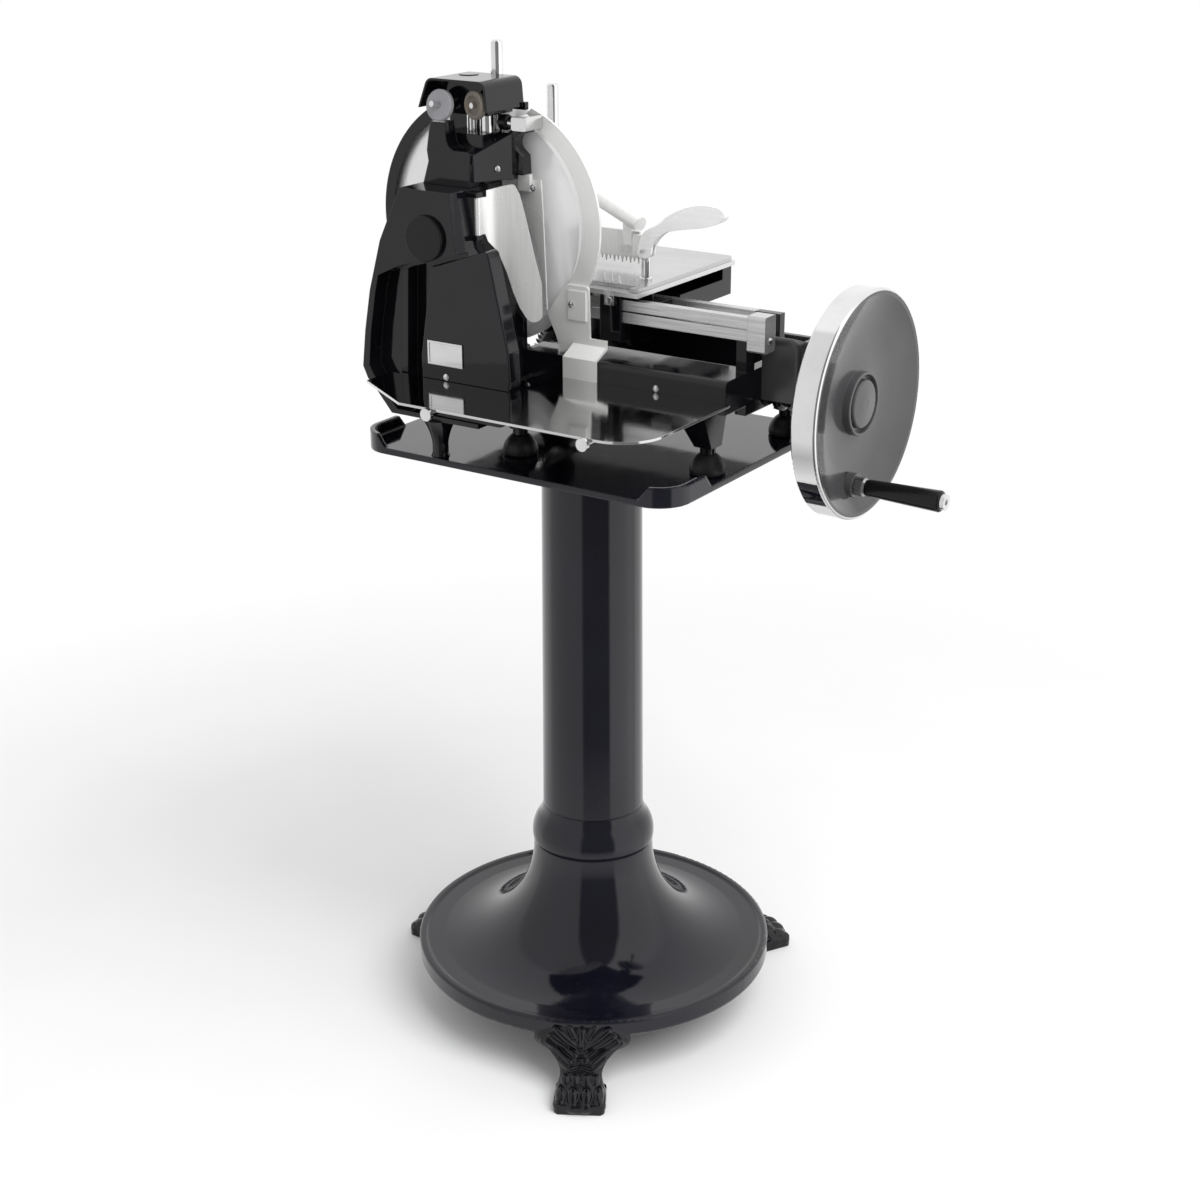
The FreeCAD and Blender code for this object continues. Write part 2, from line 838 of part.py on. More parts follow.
def make_base():
    """Cast frame: floor, front block, front beam, right wall and the rail posts."""
    floor_top = s.floor_bottom + s.floor_thickness
    bush = s.shaft_radius + s.bush_wall
    web_left = s.base_right - s.web_thickness
    beam_profile = [
        (s.block_front, s.beam_bottom),
        (s.beam_back, s.beam_bottom),
        (s.beam_back, s.beam_top),
        (s.block_front + s.beam_round, s.beam_top, s.beam_round),
        (s.block_front, s.beam_top - s.beam_round),
    ]
    pieces = [
        box("floor", (s.floor_left, s.floor_right),
            (s.tower_back + s.back_plate, s.floor_back), (s.floor_bottom, floor_top)),
        box("rear_strip", (s.floor_right, s.base_right), (s.rear_strip_front, s.floor_back),
            (s.floor_bottom, floor_top)),
        box("front_block", (s.block_left, s.block_right), (s.block_front, s.block_back),
            (s.floor_bottom, s.block_top)),
        box("inner_foot_lug", (s.block_left, s.foot_inner_x + 24),
            (s.foot_inner_y - 18, s.block_front), (s.tower_foot, s.floor_bottom + 18)),
        cylinder("inner_foot_boss", 14, s.tower_foot - s.foot_stem_top,
                 (s.foot_inner_x, s.foot_inner_y, s.foot_stem_top)),
        plate("front_beam", "YZ", s.base_right - s.block_right, (s.block_right, 0, 0),
              [beam_profile]),
        box("right_web", (web_left, s.base_right), (s.rail_front, s.floor_back),
            (s.web_bottom, s.side_wall_top)),
        box("rear_corner", (web_left, s.base_right), (s.rear_strip_front, s.floor_back),
            (floor_top, s.web_bottom)),
        box("rear_wall", (s.floor_left, s.base_right), (s.floor_back - 8, s.floor_back),
            (floor_top, s.side_wall_top)),
        box("right_post", (s.post_left, s.rail_right), (s.rail_front, s.rail_front + 20),
            (s.beam_top, s.post_top)),
        box("left_post", (s.floor_left, s.rail_left), (s.rail_front, s.rail_back),
            (floor_top, s.rail_bottom + 2 * s.rail_bar + s.rail_gap)),
        box("rear_left_post", (s.floor_left, s.rail_left), (s.rear_rail_front, s.rear_rail_back),
            (floor_top, s.rear_rail_top)),
        box("rear_right_post", (web_left, s.base_right),
            (s.rear_rail_front, s.rear_rail_back), (s.side_wall_top, s.rear_rail_bottom)),
        box("rear_rail_arm", (s.rear_lug_right, s.base_right),
            (s.rear_rail_front, s.rear_rail_back), (s.rear_rail_bottom, s.rear_rail_top)),
        bearing_block("main_bearing_block", (-50, -35),
                      (s.shaft_y - bush - 6, s.shaft_y + bush + 6)),
        bearing_block("cross_bearing_block", (s.spindle_x - bush - 6, s.spindle_x + bush + 6),
                      (-50, -36)),
        make_leg("front_right_leg", (s.leg_front_left, s.leg_front_right, s.block_front + 5,
                                     s.leg_back), s.foot_right_x, s.foot_front_y, s.beam_bottom),
        make_leg("rear_right_leg", (s.foot_right_x - 12, s.foot_right_x + 12,
                                    s.foot_rear_y - 12, s.floor_back),
                 s.foot_right_x, s.foot_rear_y, s.floor_bottom),
        make_leg("rear_left_leg", (s.floor_left, s.foot_left_x + 24,
                                   s.foot_rear_y - 22, s.floor_back),
                 s.foot_left_x, s.foot_rear_y, s.floor_bottom),
    ]
    support_z = s.plate_bottom - s.support_radius
    cuts = [
        box("bevel_well", (s.spindle_x + 5, s.spindle_x + 38), (s.shaft_y - 50, s.shaft_y + 50),
            (s.floor_bottom, floor_top)),
        cylinder("main_bush_seat", bush, s.base_right + 60, (-55, s.shaft_y, s.shaft_z), "X"),
        cylinder("cross_bush_seat", bush, 40, (s.spindle_x, -60, s.shaft_z), "Y"),
        cylinder("left_support_seat", s.support_radius, 18,
                 (s.support_left_x, s.block_front, support_z), "Y"),
        cylinder("right_support_seat", s.support_radius, 18,
                 (s.support_right_x, s.block_front, support_z), "Y"),
    ]
    node("machine_base", cut("base_casting", fuse("base_blank", *pieces), *cuts))


# ---------------------------------------------------------------- tower

def tower_outline(inset, foot, right, shoulder, top):
    """Side outline of the tower, drawn in by an inset on its curved left side."""
    return [
        (s.tower_foot_left + inset, foot),
        (right, foot),
        (right, shoulder - 57),
        (right - 18, shoulder - 7),
        (s.head_lower_right - inset, s.head_bottom + inset),
        (s.head_right - inset, top),
        (s.head_left + inset * 0.7, top),
        (s.tower_left + 35 + inset, s.head_bottom + 2),
        (s.tower_left + 16 + inset, s.head_bottom - 61),
        (s.tower_left + 6 + inset, s.head_bottom - 112),
        (s.tower_left + inset, s.head_bottom - 158),
        (s.tower_left + 7 + inset, s.head_bottom - 173),
        (s.tower_left + 16 + inset, s.head_bottom - 181),
    ]


def make_tower():
    """Hollow cast tower with a cover recess in front and a gear cavity behind."""
    depth = s.tower_back - s.tower_front
    recess_back = s.tower_front + s.recess_depth
    cavity_front = recess_back + s.front_wall
    outline = tower_outline(size(0), s.tower_foot, s.tower_right, s.tower_shoulder, s.head_top)
    body = plate("tower_trunk", "XZ", depth, (0, s.tower_front, 0), [outline])
    recess = [
        (s.tower_foot_left + 9, s.tower_foot + 6),
        (s.tower_right + 20, s.tower_foot + 6),
        (s.tower_right + 20, s.head_bottom + 12),
        (s.head_lower_right, s.head_bottom - 4),
        (s.head_lower_right - 84, s.head_bottom - 25),
        (s.head_lower_right - 119, s.head_bottom - 41),
        (s.tower_left + 24, s.head_bottom - 65),
        (s.tower_left + 15, s.head_bottom - 113),
        (s.tower_left + 10, s.head_bottom - 156),
        (s.tower_left + 17, s.head_bottom - 168),
    ]
    add_pocket(body, "cover_recess", "XZ", s.recess_depth, [recess])
    cavity = tower_outline(size(9), s.tower_foot + 6, s.tower_right - 6.5, s.tower_shoulder,
                           s.head_top - 10)
    hollow = plate("gear_cavity", "XZ", s.tower_back - cavity_front + 1, (0, cavity_front, 0),
                   [cavity])
    rib = plate("recess_rib", "XZ", s.recess_depth - 4, (0, s.tower_front + 4, 0),
                [[(-158, 880), (-148, 880), (-140, 1050), (-150, 1047)]])
    bush_depth = 8
    seats = [
        cylinder("cross_front_seat", s.shaft_radius + s.bush_wall, bush_depth,
                 (s.spindle_x, cavity_front - bush_depth, s.shaft_z), "Y"),
        cylinder("spindle_front_seat", s.spindle_radius + s.bush_wall, bush_depth,
                 (s.spindle_x, cavity_front - bush_depth, s.spindle_z), "Y"),
    ]
    node("tower", cut("tower_casting", fuse("tower_blank", body, rib), hollow, *seats))
    make_back_plate()
    make_tower_cover(recess_back)


def idler_place():
    """Centre of the idler, left of the line between the two equal gears."""
    half = (s.spindle_z - s.shaft_z) / 2
    reach = s.gear_module * (s.small_gear_teeth + s.idler_teeth) / 2
    return s.spindle_x - root_of(reach * reach - half * half), s.shaft_z + half


def make_back_plate():
    """Rear plate of the tower, with the bush seats and the idler's fixed pin."""
    outline = tower_outline(size(0), s.tower_foot, s.tower_right, s.tower_shoulder, s.head_top)
    blank = plate("back_plate", "XZ", s.back_plate, (0, s.tower_back, 0), [outline])
    idler_x, idler_z = idler_place()
    pin_length = s.tower_back - s.gear_back + s.gear_width + 4
    pin = cylinder("idler_pin", s.shaft_radius, pin_length,
                   (idler_x, s.tower_back - pin_length, idler_z), "Y")
    shoulder = cylinder("idler_shoulder", s.shaft_radius + 5,
                        s.tower_back - s.gear_back - s.gap_small,
                        (idler_x, s.gear_back + s.gap_small, idler_z), "Y")
    holes = [
        cylinder("spindle_plate_seat", s.spindle_radius + s.bush_wall, s.back_plate,
                 (s.spindle_x, s.tower_back, s.spindle_z), "Y"),
        cylinder("cross_plate_seat", s.shaft_radius + s.bush_wall, s.back_plate,
                 (s.spindle_x, s.tower_back, s.shaft_z), "Y"),
    ]
    node("tower_back_plate", cut("back_plate_bored", fuse("back_plate_blank", blank, pin, shoulder),
                                 *holes))


def make_tower_cover(recess_back):
    """Front cover that also shields the deflector side, blank badge and shaft cap."""
    outline = [
        (s.head_lower_right - 55, s.cover_foot),
        (s.cover_right - 20, s.cover_foot, s.cover_round * 2),
        (s.cover_right - 8, s.cover_foot + 14),
        (s.cover_right, s.badge_bottom - 8),
        (s.cover_right - 2, s.badge_top - 2),
        (s.cover_right - 28, s.head_bottom, s.cover_round),
        (s.cover_right - 36, s.head_bottom + 4),
        (s.head_lower_right - 32, s.head_bottom - 20, s.cover_round),
        (s.head_lower_right - 39, s.head_bottom - 26),
        (s.head_lower_right - 57, s.badge_bottom + 8),
    ]
    body = plate("front_cover", "XZ", s.recess_depth, (0, s.tower_front, 0), [outline])
    rounded_edges(body, 2.5, lambda edge: abs(edge.BoundBox.YMax) < 0.01)
    passage = cylinder("cover_passage", s.support_radius + 0.5, s.recess_depth * 2,
                       (s.support_left_x, s.tower_front - 10, s.plate_bottom - s.support_radius),
                       "Y")
    node("tower_cover", cut("front_cover_passed", body, passage))
    frame = [
        (s.badge_left, s.badge_bottom),
        (s.badge_right, s.badge_bottom),
        (s.badge_right, s.badge_top),
        (s.badge_left, s.badge_top),
    ]
    field = [
        (s.badge_left + s.badge_frame, s.badge_bottom + s.badge_frame),
        (s.badge_right - s.badge_frame, s.badge_bottom + s.badge_frame),
        (s.badge_right - s.badge_frame, s.badge_top - s.badge_frame),
        (s.badge_left + s.badge_frame, s.badge_top - s.badge_frame),
    ]
    badge = plate("badge", "XZ", s.badge_thickness, (0, s.tower_front - s.badge_thickness, 0),
                  [frame])
    add_pocket(badge, "badge_field", "XZ", s.badge_thickness / 2, [field])
    node("badge_plate", badge)
    cap = [
        (0, 0),
        (s.cap_radius, 0),
        (s.cap_radius, s.cap_depth - 2, 2),
        (s.cap_radius - 2, s.cap_depth),
        (0, s.cap_depth),
    ]
    node("blade_shaft_cap", turned("shaft_cap", cap, (s.spindle_x, s.tower_front, s.spindle_z),
                                   rotation=Rotation(Vector(1, 0, 0), 90)))


# ---------------------------------------------------------------- gears and shafts

def involute(angle):
    return math.tan(angle) - angle


def gear_outline(teeth, module, backlash, turn):
    """Involute spur gear outline about the origin, one tooth centred on the turn angle."""
    pitch = module * teeth / 2
    base = pitch * math.cos(math.radians(20))
    root, tip = pitch - 1.25 * module, pitch + 0.95 * module
    start = max(base, root)
    half_pitch = math.pi / (2 * teeth) - backlash / (2 * pitch) + involute(math.radians(20))
    flank = []
    for i in range(5):
        radius = start + (tip - start) * i / 4
        flank.append((radius, half_pitch - involute(math.acos(min(base / radius, 1)))))
    if start > root:
        flank.insert(0, (root, flank[0][1] + 0.002))
    points = []
    for tooth in range(int(teeth)):
        middle = math.radians(turn) + 2 * math.pi * tooth / teeth
        side = [(r, middle - a) for r, a in flank] + [(r, middle + a) for r, a in flank[::-1]]
        points += [Vector(r * math.cos(a), r * math.sin(a), 0) for r, a in side]
    return points


def prism(points, depth):
    face = Part.Face(Part.makePolygon(points + points[:1]))
    return face.extrude(Vector(0, 0, depth))


def spur_gear(name, teeth, bore, at, turn):
    """Gear about Y; its outline is drawn looking along Y, so X stays X and Z turns over."""
    width = s.gear_width.value
    outline = gear_outline(teeth.value, s.gear_module.value, s.gear_backlash.value, -turn)
    solid = prism(outline, width)
    hole = Part.makeCylinder(bore.value, width)
    return shape_piece(name, solid.cut(hole), at, TURN_TO["Y"])


def bevel_section(teeth, pitch_angle, module, backlash, level, turn):
    """Section of a straight bevel gear across its axis, at a distance from the apex."""
    pitch = module * teeth / 2
    cone_length = pitch / math.sin(pitch_angle)
    virtual = pitch / math.cos(pitch_angle)
    base = virtual * math.cos(math.radians(20))
    half_pitch = math.pi * module / (4 * virtual) - backlash / (2 * virtual)
    half_pitch += involute(math.radians(20))
    flank = []
    for step in range(5):
        rise = module * (-1.25 + 2.0 * step / 4)
        radius = virtual + rise
        spread = half_pitch - involute(math.acos(min(base / max(radius, base), 1)))
        true_radius = pitch + rise * math.cos(pitch_angle)
        angle = pitch_angle + math.atan(rise / cone_length)
        flank.append((level * math.tan(angle), spread * radius / true_radius))
    points = []
    for tooth in range(int(teeth)):
        middle = math.radians(turn) + 2 * math.pi * tooth / teeth
        side = [(r, middle - a) for r, a in flank] + [(r, middle + a) for r, a in flank[::-1]]
        points += [Vector(r * math.cos(a), r * math.sin(a), level) for r, a in side]
    return points


def bevel_gear(teeth, mate_teeth, turn, bore):
    """Bevel gear with its apex at the origin and its teeth opening along +Z."""
    module = s.gear_module.value
    pitch_angle = math.atan2(teeth, mate_teeth)
    outer = module * mate_teeth / 2
    cone_length = module * math.hypot(teeth, mate_teeth) / 2
    inner = outer * (1 - s.bevel_face.value / cone_length)
    wires = []
    for level in (inner, outer):
        points = bevel_section(teeth, pitch_angle, module, s.bevel_backlash.value, level, turn)
        wires.append(Part.makePolygon(points + points[:1]))
    ring = Part.makeLoft(wires, True, True)
    root = module * teeth / 2 - 3.5
    backing = Part.makeCylinder(root, 6, Vector(0, 0, outer))
    hub = Part.makeCylinder(bore + 6, 10, Vector(0, 0, outer + 6))
    solid = ring.fuse([backing, hub])
    return solid.cut(Part.makeCylinder(bore, 60, Vector(0, 0, 0)))


def mating_turn(direction, driver_teeth, driver_turn, driven_teeth):
    """Turn of a gear so that its gap faces the driver's tooth along a direction."""
    pitches = (direction - driver_turn) * driver_teeth / 360
    return direction + 180 - 360 * (0.5 - pitches) / driven_teeth


def make_gear_train():
    """Cross shaft with its bevel, idler and blade gear up the tower."""
    teeth, idler_teeth = s.small_gear_teeth, s.idler_teeth
    idler_x, idler_z = idler_place()
    up = math.degrees(math.atan2(idler_z.value - s.shaft_z.value,
                                 idler_x.value - s.spindle_x.value))
    onward = math.degrees(math.atan2(s.spindle_z.value - idler_z.value,
                                     s.spindle_x.value - idler_x.value))
    gear_y = s.gear_back - s.gear_width
    idler_turn = mating_turn(up, teeth.value, 0, idler_teeth.value)
    blade_turn = mating_turn(onward, idler_teeth.value, idler_turn, teeth.value)
    node("lower_gear", spur_gear("lower_gear_blank", teeth, s.shaft_radius,
                                 (s.spindle_x, gear_y, s.shaft_z), 0))
    node("idler_gear", spur_gear("idler_gear_blank", idler_teeth, s.shaft_radius + s.running_fit,
                                 (idler_x, gear_y, idler_z), idler_turn))
    node("blade_gear", spur_gear("blade_gear_blank", teeth, s.spindle_radius,
                                 (s.spindle_x, gear_y, s.spindle_z), blade_turn))
    apex = (s.spindle_x, s.shaft_y, s.shaft_z)
    big, small = s.bevel_big_teeth.value, s.bevel_small_teeth.value
    node("bevel_gear", shape_piece("bevel_gear_blank",
                                   bevel_gear(big, small, -90, s.shaft_radius.value),
                                   apex, TURN_TO["X"]))
    small_outer = s.gear_module * s.bevel_big_teeth / 2
    start = s.tower_front + s.recess_depth + s.front_wall - 7.5
    shaft = cylinder("cross_shaft", s.shaft_radius, s.shaft_y - small_outer - 16 - start,
                     (s.spindle_x, start, s.shaft_z), "Y")
    pinion = shape_piece("pinion_teeth", bevel_gear(small, big, 180 / small, 0.5), apex,
                         Rotation(Vector(1, 0, 0), 90))
    stub = cylinder("pinion_core", 0.5, 24, (s.spindle_x, s.shaft_y - small_outer - 16, s.shaft_z),
                    "Y")
    node("cross_shaft", fuse("cross_shaft_with_pinion", shaft, pinion, stub))


def make_blade():
    """Dished round blade on its spindle hub."""
    web_front = s.blade_edge_y - s.blade_web_front
    web_back = s.blade_edge_y - s.blade_web_back
    bevel = s.blade_radius - s.blade_bevel
    profile = [
        (s.blade_bore, -web_front),
        (s.hub_radius + 8, -web_front),
        (s.hub_radius + 16, -web_front + 1.6),
        (bevel, -web_front + 3.8),
        (s.blade_radius, -0.7),
        (s.blade_radius, -0.3),
        (bevel - 2, -1),
        (s.hub_radius + 18, -web_back),
        (s.blade_bore, -web_back),
    ]
    node("blade", turned("blade_disc", profile, (s.spindle_x, s.blade_edge_y, s.spindle_z), "Y"))
    start = s.tower_front + s.recess_depth + s.front_wall - 7.5
    front = s.blade_web_front - s.hub_depth
    spindle = [
        (0, 0),
        (s.spindle_radius, 0),
        (s.spindle_radius, front - start),
        (s.hub_radius - 3, front - start),
        (s.hub_radius, front - start + 3),
        (s.hub_radius, s.blade_web_front - start),
        (s.blade_bore, s.blade_web_front - start),
        (s.blade_bore, s.blade_web_back - start),
        (0, s.blade_web_back - start),
    ]
    node("blade_spindle", turned("spindle", spindle, (s.spindle_x, start, s.spindle_z), "Y"))


def make_guards():
    """Black edge guard on the left, polished ring guard on the right, and their holders."""
    inner = s.guard_outer - s.guard_ring_width
    start_angle, end_angle = 105, 262
    profile = [
        (inner, 0),
        (s.guard_outer, 0),
        (s.guard_outer, s.guard_back - s.guard_front),
        (s.guard_outer - s.guard_wall, s.guard_back - s.guard_front),
        (s.guard_outer - s.guard_wall, s.guard_wall),
        (inner, s.guard_wall),
    ]
    from_end = Rotation(Vector(0, 1, 0), -end_angle).multiply(TURN_TO["Y"])
    guard = turned("edge_guard", profile, (s.spindle_x, s.guard_front, s.spindle_z),
                   rotation=from_end, sweep=end_angle - start_angle)
    tab = box("edge_guard_tab", (s.spindle_x - 42, s.spindle_x - 6),
              (s.arm_back, s.guard_front + s.guard_wall),
              (s.arm_top - 12, s.hood_block_bottom - 2))
    low_x, low_z = polar(inner + 7, 250)
    boss = cylinder("edge_guard_boss", 6, s.guard_front - s.tower_back - s.back_plate,
                    (s.spindle_x + low_x, s.tower_back + s.back_plate, s.spindle_z + low_z), "Y")
    node("blade_edge_guard", fuse("edge_guard_whole", guard, tab, boss))
    ring_start, ring_end = -38, 71

    def on_circle(x, z, radius, angle):
        across, up = polar(radius, angle)
        return x + across, z + up

    outer = (s.ring_x, s.ring_z, s.ring_outer)
    hole = (s.ring_hole_x, s.ring_hole_z, s.ring_hole)
    node("ring_guard", plate("ring", "XZ", s.ring_thickness, (0, s.ring_front, 0), [[
        (*on_circle(*outer, ring_start), s.ring_outer),
        on_circle(*outer, ring_end),
        (*on_circle(*hole, ring_end), -s.ring_hole),
        on_circle(*hole, ring_start),
    ]]))
    fold = s.block_top + 12
    tab_outline = [
        (4, s.block_top + 3),
        (48, s.block_top + 3),
        (46, s.block_top + 79, 4),
        (42, s.block_top + 83),
        (15, s.block_top + 83, 5),
        (11, s.block_top + 80),
        (-13.5, s.block_top + 46),
        (-13.5, s.block_top + 42),
        (-2, s.block_top + 18),
    ]
    upright = plate("ring_tab", "XZ", 3.5, (0, s.ring_front - 3.5, 0), [tab_outline])
    pad = box("ring_tab_pad", (17, 43), (s.ring_front - 5.5, s.ring_front - 3.5),
              (s.block_top + 41, s.block_top + 77))
    foot_outline = [
        (s.ring_front, fold + 8),
        (s.ring_front - 3.5, fold + 8),
        (s.ring_front - 3.5, fold),
        (s.block_front - 3, s.block_top),
        (s.block_front - 3, s.block_top - 26),
        (s.block_front, s.block_top - 26),
        (s.block_front, s.block_top - 2),
        (s.ring_front, fold - 3),
    ]
    foot = plate("ring_tab_foot", "YZ", 48, (s.block_right + 1.5, 0, 0), [foot_outline])
    node("ring_bracket", fuse("ring_bracket_whole", upright, pad, foot))
    block = plate("clamp_block", "XZ", s.ring_front - s.knob_y + 9, (0, s.knob_y - 9, 0),
                  [rounded_rectangle(size(-42), size(-20), s.knob_z - 8, s.knob_z + 8, size(3))])
    collar = cylinder("clamp_collar", 7, 8, (-49, s.knob_y, s.knob_z), "X")
    bore = cylinder("clamp_bore", 3 + s.slide_fit, 24, (-50, s.knob_y, s.knob_z), "X")
    node("ring_clamp", cut("clamp_whole", fuse("clamp_blank", block, collar), bore))


def make_upper_arm():
    """Arm on the head that carries the sharpener rod and the ring clamp."""
    seat_top = s.knob_z - 8.3
    front_outline = [
        (s.arm_left - 2, s.head_top),
        (s.head_right - 1, s.head_top),
        (s.head_right + 2, s.arm_top - 22, 4),
        (s.head_right - 2, s.arm_top - 18),
        (s.arm_left + 48, s.arm_top - 18, -14),
        (s.arm_left + 34, s.arm_top - 4),
        (s.arm_left + 33, s.arm_top + 14),
        (s.arm_left + 12, s.arm_top + 14),
        (s.arm_left + 9, s.arm_top + 2),
        (s.arm_left + 5, s.arm_top - 20),
        (s.arm_left + 7, s.arm_top - 33),
    ]
    rear_outline = [
        (s.arm_left, s.head_top),
        (s.head_right - 1, s.head_top),
        (s.head_right - 1, s.head_top + 12),
        (-30, s.head_top + 12),
        (-31, s.head_top + 34),
        (-41, s.head_top + 42, -14),
        (-25, seat_top - 2),
        (-25, seat_top),
        (-46, seat_top),
        (-52, s.arm_top),
        (s.arm_left + 14, s.arm_top),
    ]
    shelf_front = s.arm_front + 20
    front = plate("arm_front", "XZ", 20, (0, s.arm_front, 0), [front_outline])
    shelf = [
        box("arm_shelf", (s.arm_left + 10, s.head_right - 1), (shelf_front, s.wing_front),
            (s.head_top, s.arm_top)),
        box("arm_shelf_side", (s.head_right - 1, s.head_right + 6), (shelf_front, s.wing_front),
            (s.head_top + 6, s.arm_top)),
    ]
    rear = plate("arm_rear", "XZ", s.arm_back - s.wing_front, (0, s.wing_front, 0),
                 [rear_outline])
    wall_plan = [
        (s.head_right - 4, s.arm_front + 6),
        (s.head_right + 2, s.arm_front + 6),
        (s.head_right + 28, s.wing_front + 2),
        (s.head_right + 28, s.wing_front + 10),
        (s.head_right - 4, s.wing_front + 10),
    ]
    wall_side = [
        (s.arm_front + 6, s.head_top + 6),
        (s.wing_front + 10, s.head_top + 6),
        (s.wing_front + 10, s.arm_top),
        (s.wing_front, s.arm_top),
        (s.arm_front + 6, s.arm_top - 22),
    ]
    wall = doc.addObject("Part::Common", "arm_wall")
    wall.Base = plate("arm_wall_plan", "XY", 80, (0, 0, s.head_top), [wall_plan])
    wall.Tool = plate("arm_wall_side", "YZ", 80, (s.head_right - 20, 0, 0), [wall_side])
    bore = cylinder("rod_seat", s.rod_radius, 200, (s.rod_x, s.rod_y, s.rod_seat))
    node("upper_arm", cut("arm_casting", fuse("arm_blank", front, rear, wall, *shelf),
                          bore))
    rod_height = s.rod_top - s.rod_seat
    rod = [
        (0, 0),
        (s.rod_radius, 0),
        (s.rod_radius, rod_height - 4, 5),
        (s.rod_radius - 4, rod_height),
        (0, rod_height),
    ]
    post_top = s.hood_block_bottom - s.gap_small
    posts = [
        cylinder("sharpener_stop", 9, post_top - s.arm_top, (s.rod_x - 1, -106, s.arm_top)),
        cylinder("sharpener_guide", 6, post_top - s.arm_top, (s.rod_x - 20, -110, s.arm_top)),
    ]
    node("sharpener_rod", group("rod_and_posts", turned("rod", rod, (s.rod_x, s.rod_y, s.rod_seat)),
                                *posts))
    knob = [
        (0, 0),
        (s.knob_radius - 4, 0, 5),
        (s.knob_radius, 4),
        (s.knob_radius, 11, 4),
        (s.knob_radius - 3, 14),
        (3, 14),
        (3, 34),
        (0, 34),
    ]
    node("guard_knob", turned("clamp_knob", knob, (-64, s.knob_y, s.knob_z), "X"))


def stone_profile(radius, length, cup):
    """Grinding stone about its spindle, from its face back; a cup stone has a recess."""
    bore = s.stone_bore + s.slide_fit
    face = [
        (bore, 0),
        (radius - 1.5, 0),
        (radius, 1.5),
    ]
    if cup:
        face = [
            (bore, 3),
            (radius - 7, 3),
            (radius - 5, 0),
            (radius - 1.5, 0),
            (radius, 1.5),
        ]
    return face + [
        (radius, length - 1.5),
        (radius - 1.5, length),
        (bore, length),
    ]


def stone_turn(tilt, turn):
    """Turns the +Z axis to +Y, tilted down at the back and turned about the vertical."""
    upright = Rotation(Vector(0, 0, 1), turn)
    return upright.multiply(Rotation(Vector(1, 0, 0), -90 - tilt))


def spindle(name, lengths, centre, turn):
    """Spindle of a stone with a collar behind it; lengths: before, collar, behind."""
    front, collar, back = lengths
    bore = s.stone_bore
    profile = [
        (0, -front),
        (bore, -front),
        (bore, collar),
        (bore + 3, collar),
        (bore + 3, collar + 3),
        (bore, collar + 3),
        (bore, back),
        (0, back),
    ]
    return turned(name, profile, centre, rotation=turn)


def make_sharpener():
    """Bent hood that lifts on the rod, with a flat stone and a cup stone."""
    sheet = s.hood_sheet
    height = s.hood_top - s.hood_bottom
    left_slope = (s.hood_top_left - s.hood_left) / height
    right_slope = (s.hood_right - s.hood_top_right) / height
    wide = sheet * 1.08
    outline = [
        (s.hood_left, s.hood_bottom),
        (s.hood_left + wide, s.hood_bottom),
        (s.hood_top_left + wide - sheet * left_slope, s.hood_top - sheet),
        (s.hood_top_right - sheet + sheet * right_slope, s.hood_top - sheet),
        (s.hood_right - sheet, s.hood_bottom),
        (s.hood_right, s.hood_bottom),
        (s.hood_top_right, s.hood_top),
        (s.hood_top_left, s.hood_top),
    ]
    sharp = plate("hood_sheet", "XZ", s.hood_back - s.hood_front, (0, s.hood_front, 0), [outline])

    def bend(level):
        return lambda edge: (abs(edge.BoundBox.ZMin - level.value) < 0.01
                             and edge.BoundBox.YLength > 50)

    rounded_edges(sharp, s.hood_round, bend(s.hood_top))
    rounded_edges(sharp, s.hood_round - sheet, bend(s.hood_top - sheet))
    block = box("hood_block", (s.hood_top_left + 9, s.cup_x + 8),
                (s.hood_block_front, s.hood_back - sheet),
                (s.hood_block_bottom, s.hood_top - sheet))
    foot = box("hood_foot", (s.cup_x + 5, s.hood_right + 4), (s.hood_back - 3, s.hood_back + 3.5),
               (s.hood_bottom - 4, s.hood_bottom + 5))
    plug = cylinder("hood_plug", 12, 0.8, (s.rod_x - 32, -98, s.hood_top))
    bore = cylinder("rod_bore", s.rod_radius + s.slide_fit, height + 40,
                    (s.rod_x, s.rod_y, s.hood_block_bottom - 10))
    stone = (s.stone_x, s.stone_y, s.stone_z)
    cup = (s.cup_x, s.cup_y, s.cup_z)
    stone_way = stone_turn(s.stone_tilt.value, 0)
    cup_way = stone_turn(0, -s.cup_turn.value)
    seats = [
        turned("stone_spindle_seat", [(0, 0), (s.stone_bore, 0), (s.stone_bore, 40), (0, 40)],
               stone, rotation=stone_way),
        turned("cup_spindle_seat", [(0, 0), (s.stone_bore, 0), (s.stone_bore, 36), (0, 36)],
               cup, rotation=cup_way),
    ]
    node("sharpener_hood", cut("hood", fuse("hood_blank", sharp, block, foot, plug), bore, *seats))
    node("stone_spindles", group(
        "spindle_pair",
        spindle("stone_spindle", (s.stub_length, s.stone_thickness + 0.3, size(40)), stone,
                stone_way),
        spindle("cup_spindle", (size(2.0), s.cup_thickness + 0.3, size(36)), cup, cup_way)))
    node("grinding_stone", turned("flat_stone",
                                  stone_profile(s.stone_radius, s.stone_thickness, False),
                                  stone, rotation=stone_way))
    node("honing_stone", turned("cup_stone",
                                stone_profile(s.cup_radius, s.cup_thickness, True),
                                cup, rotation=cup_way))


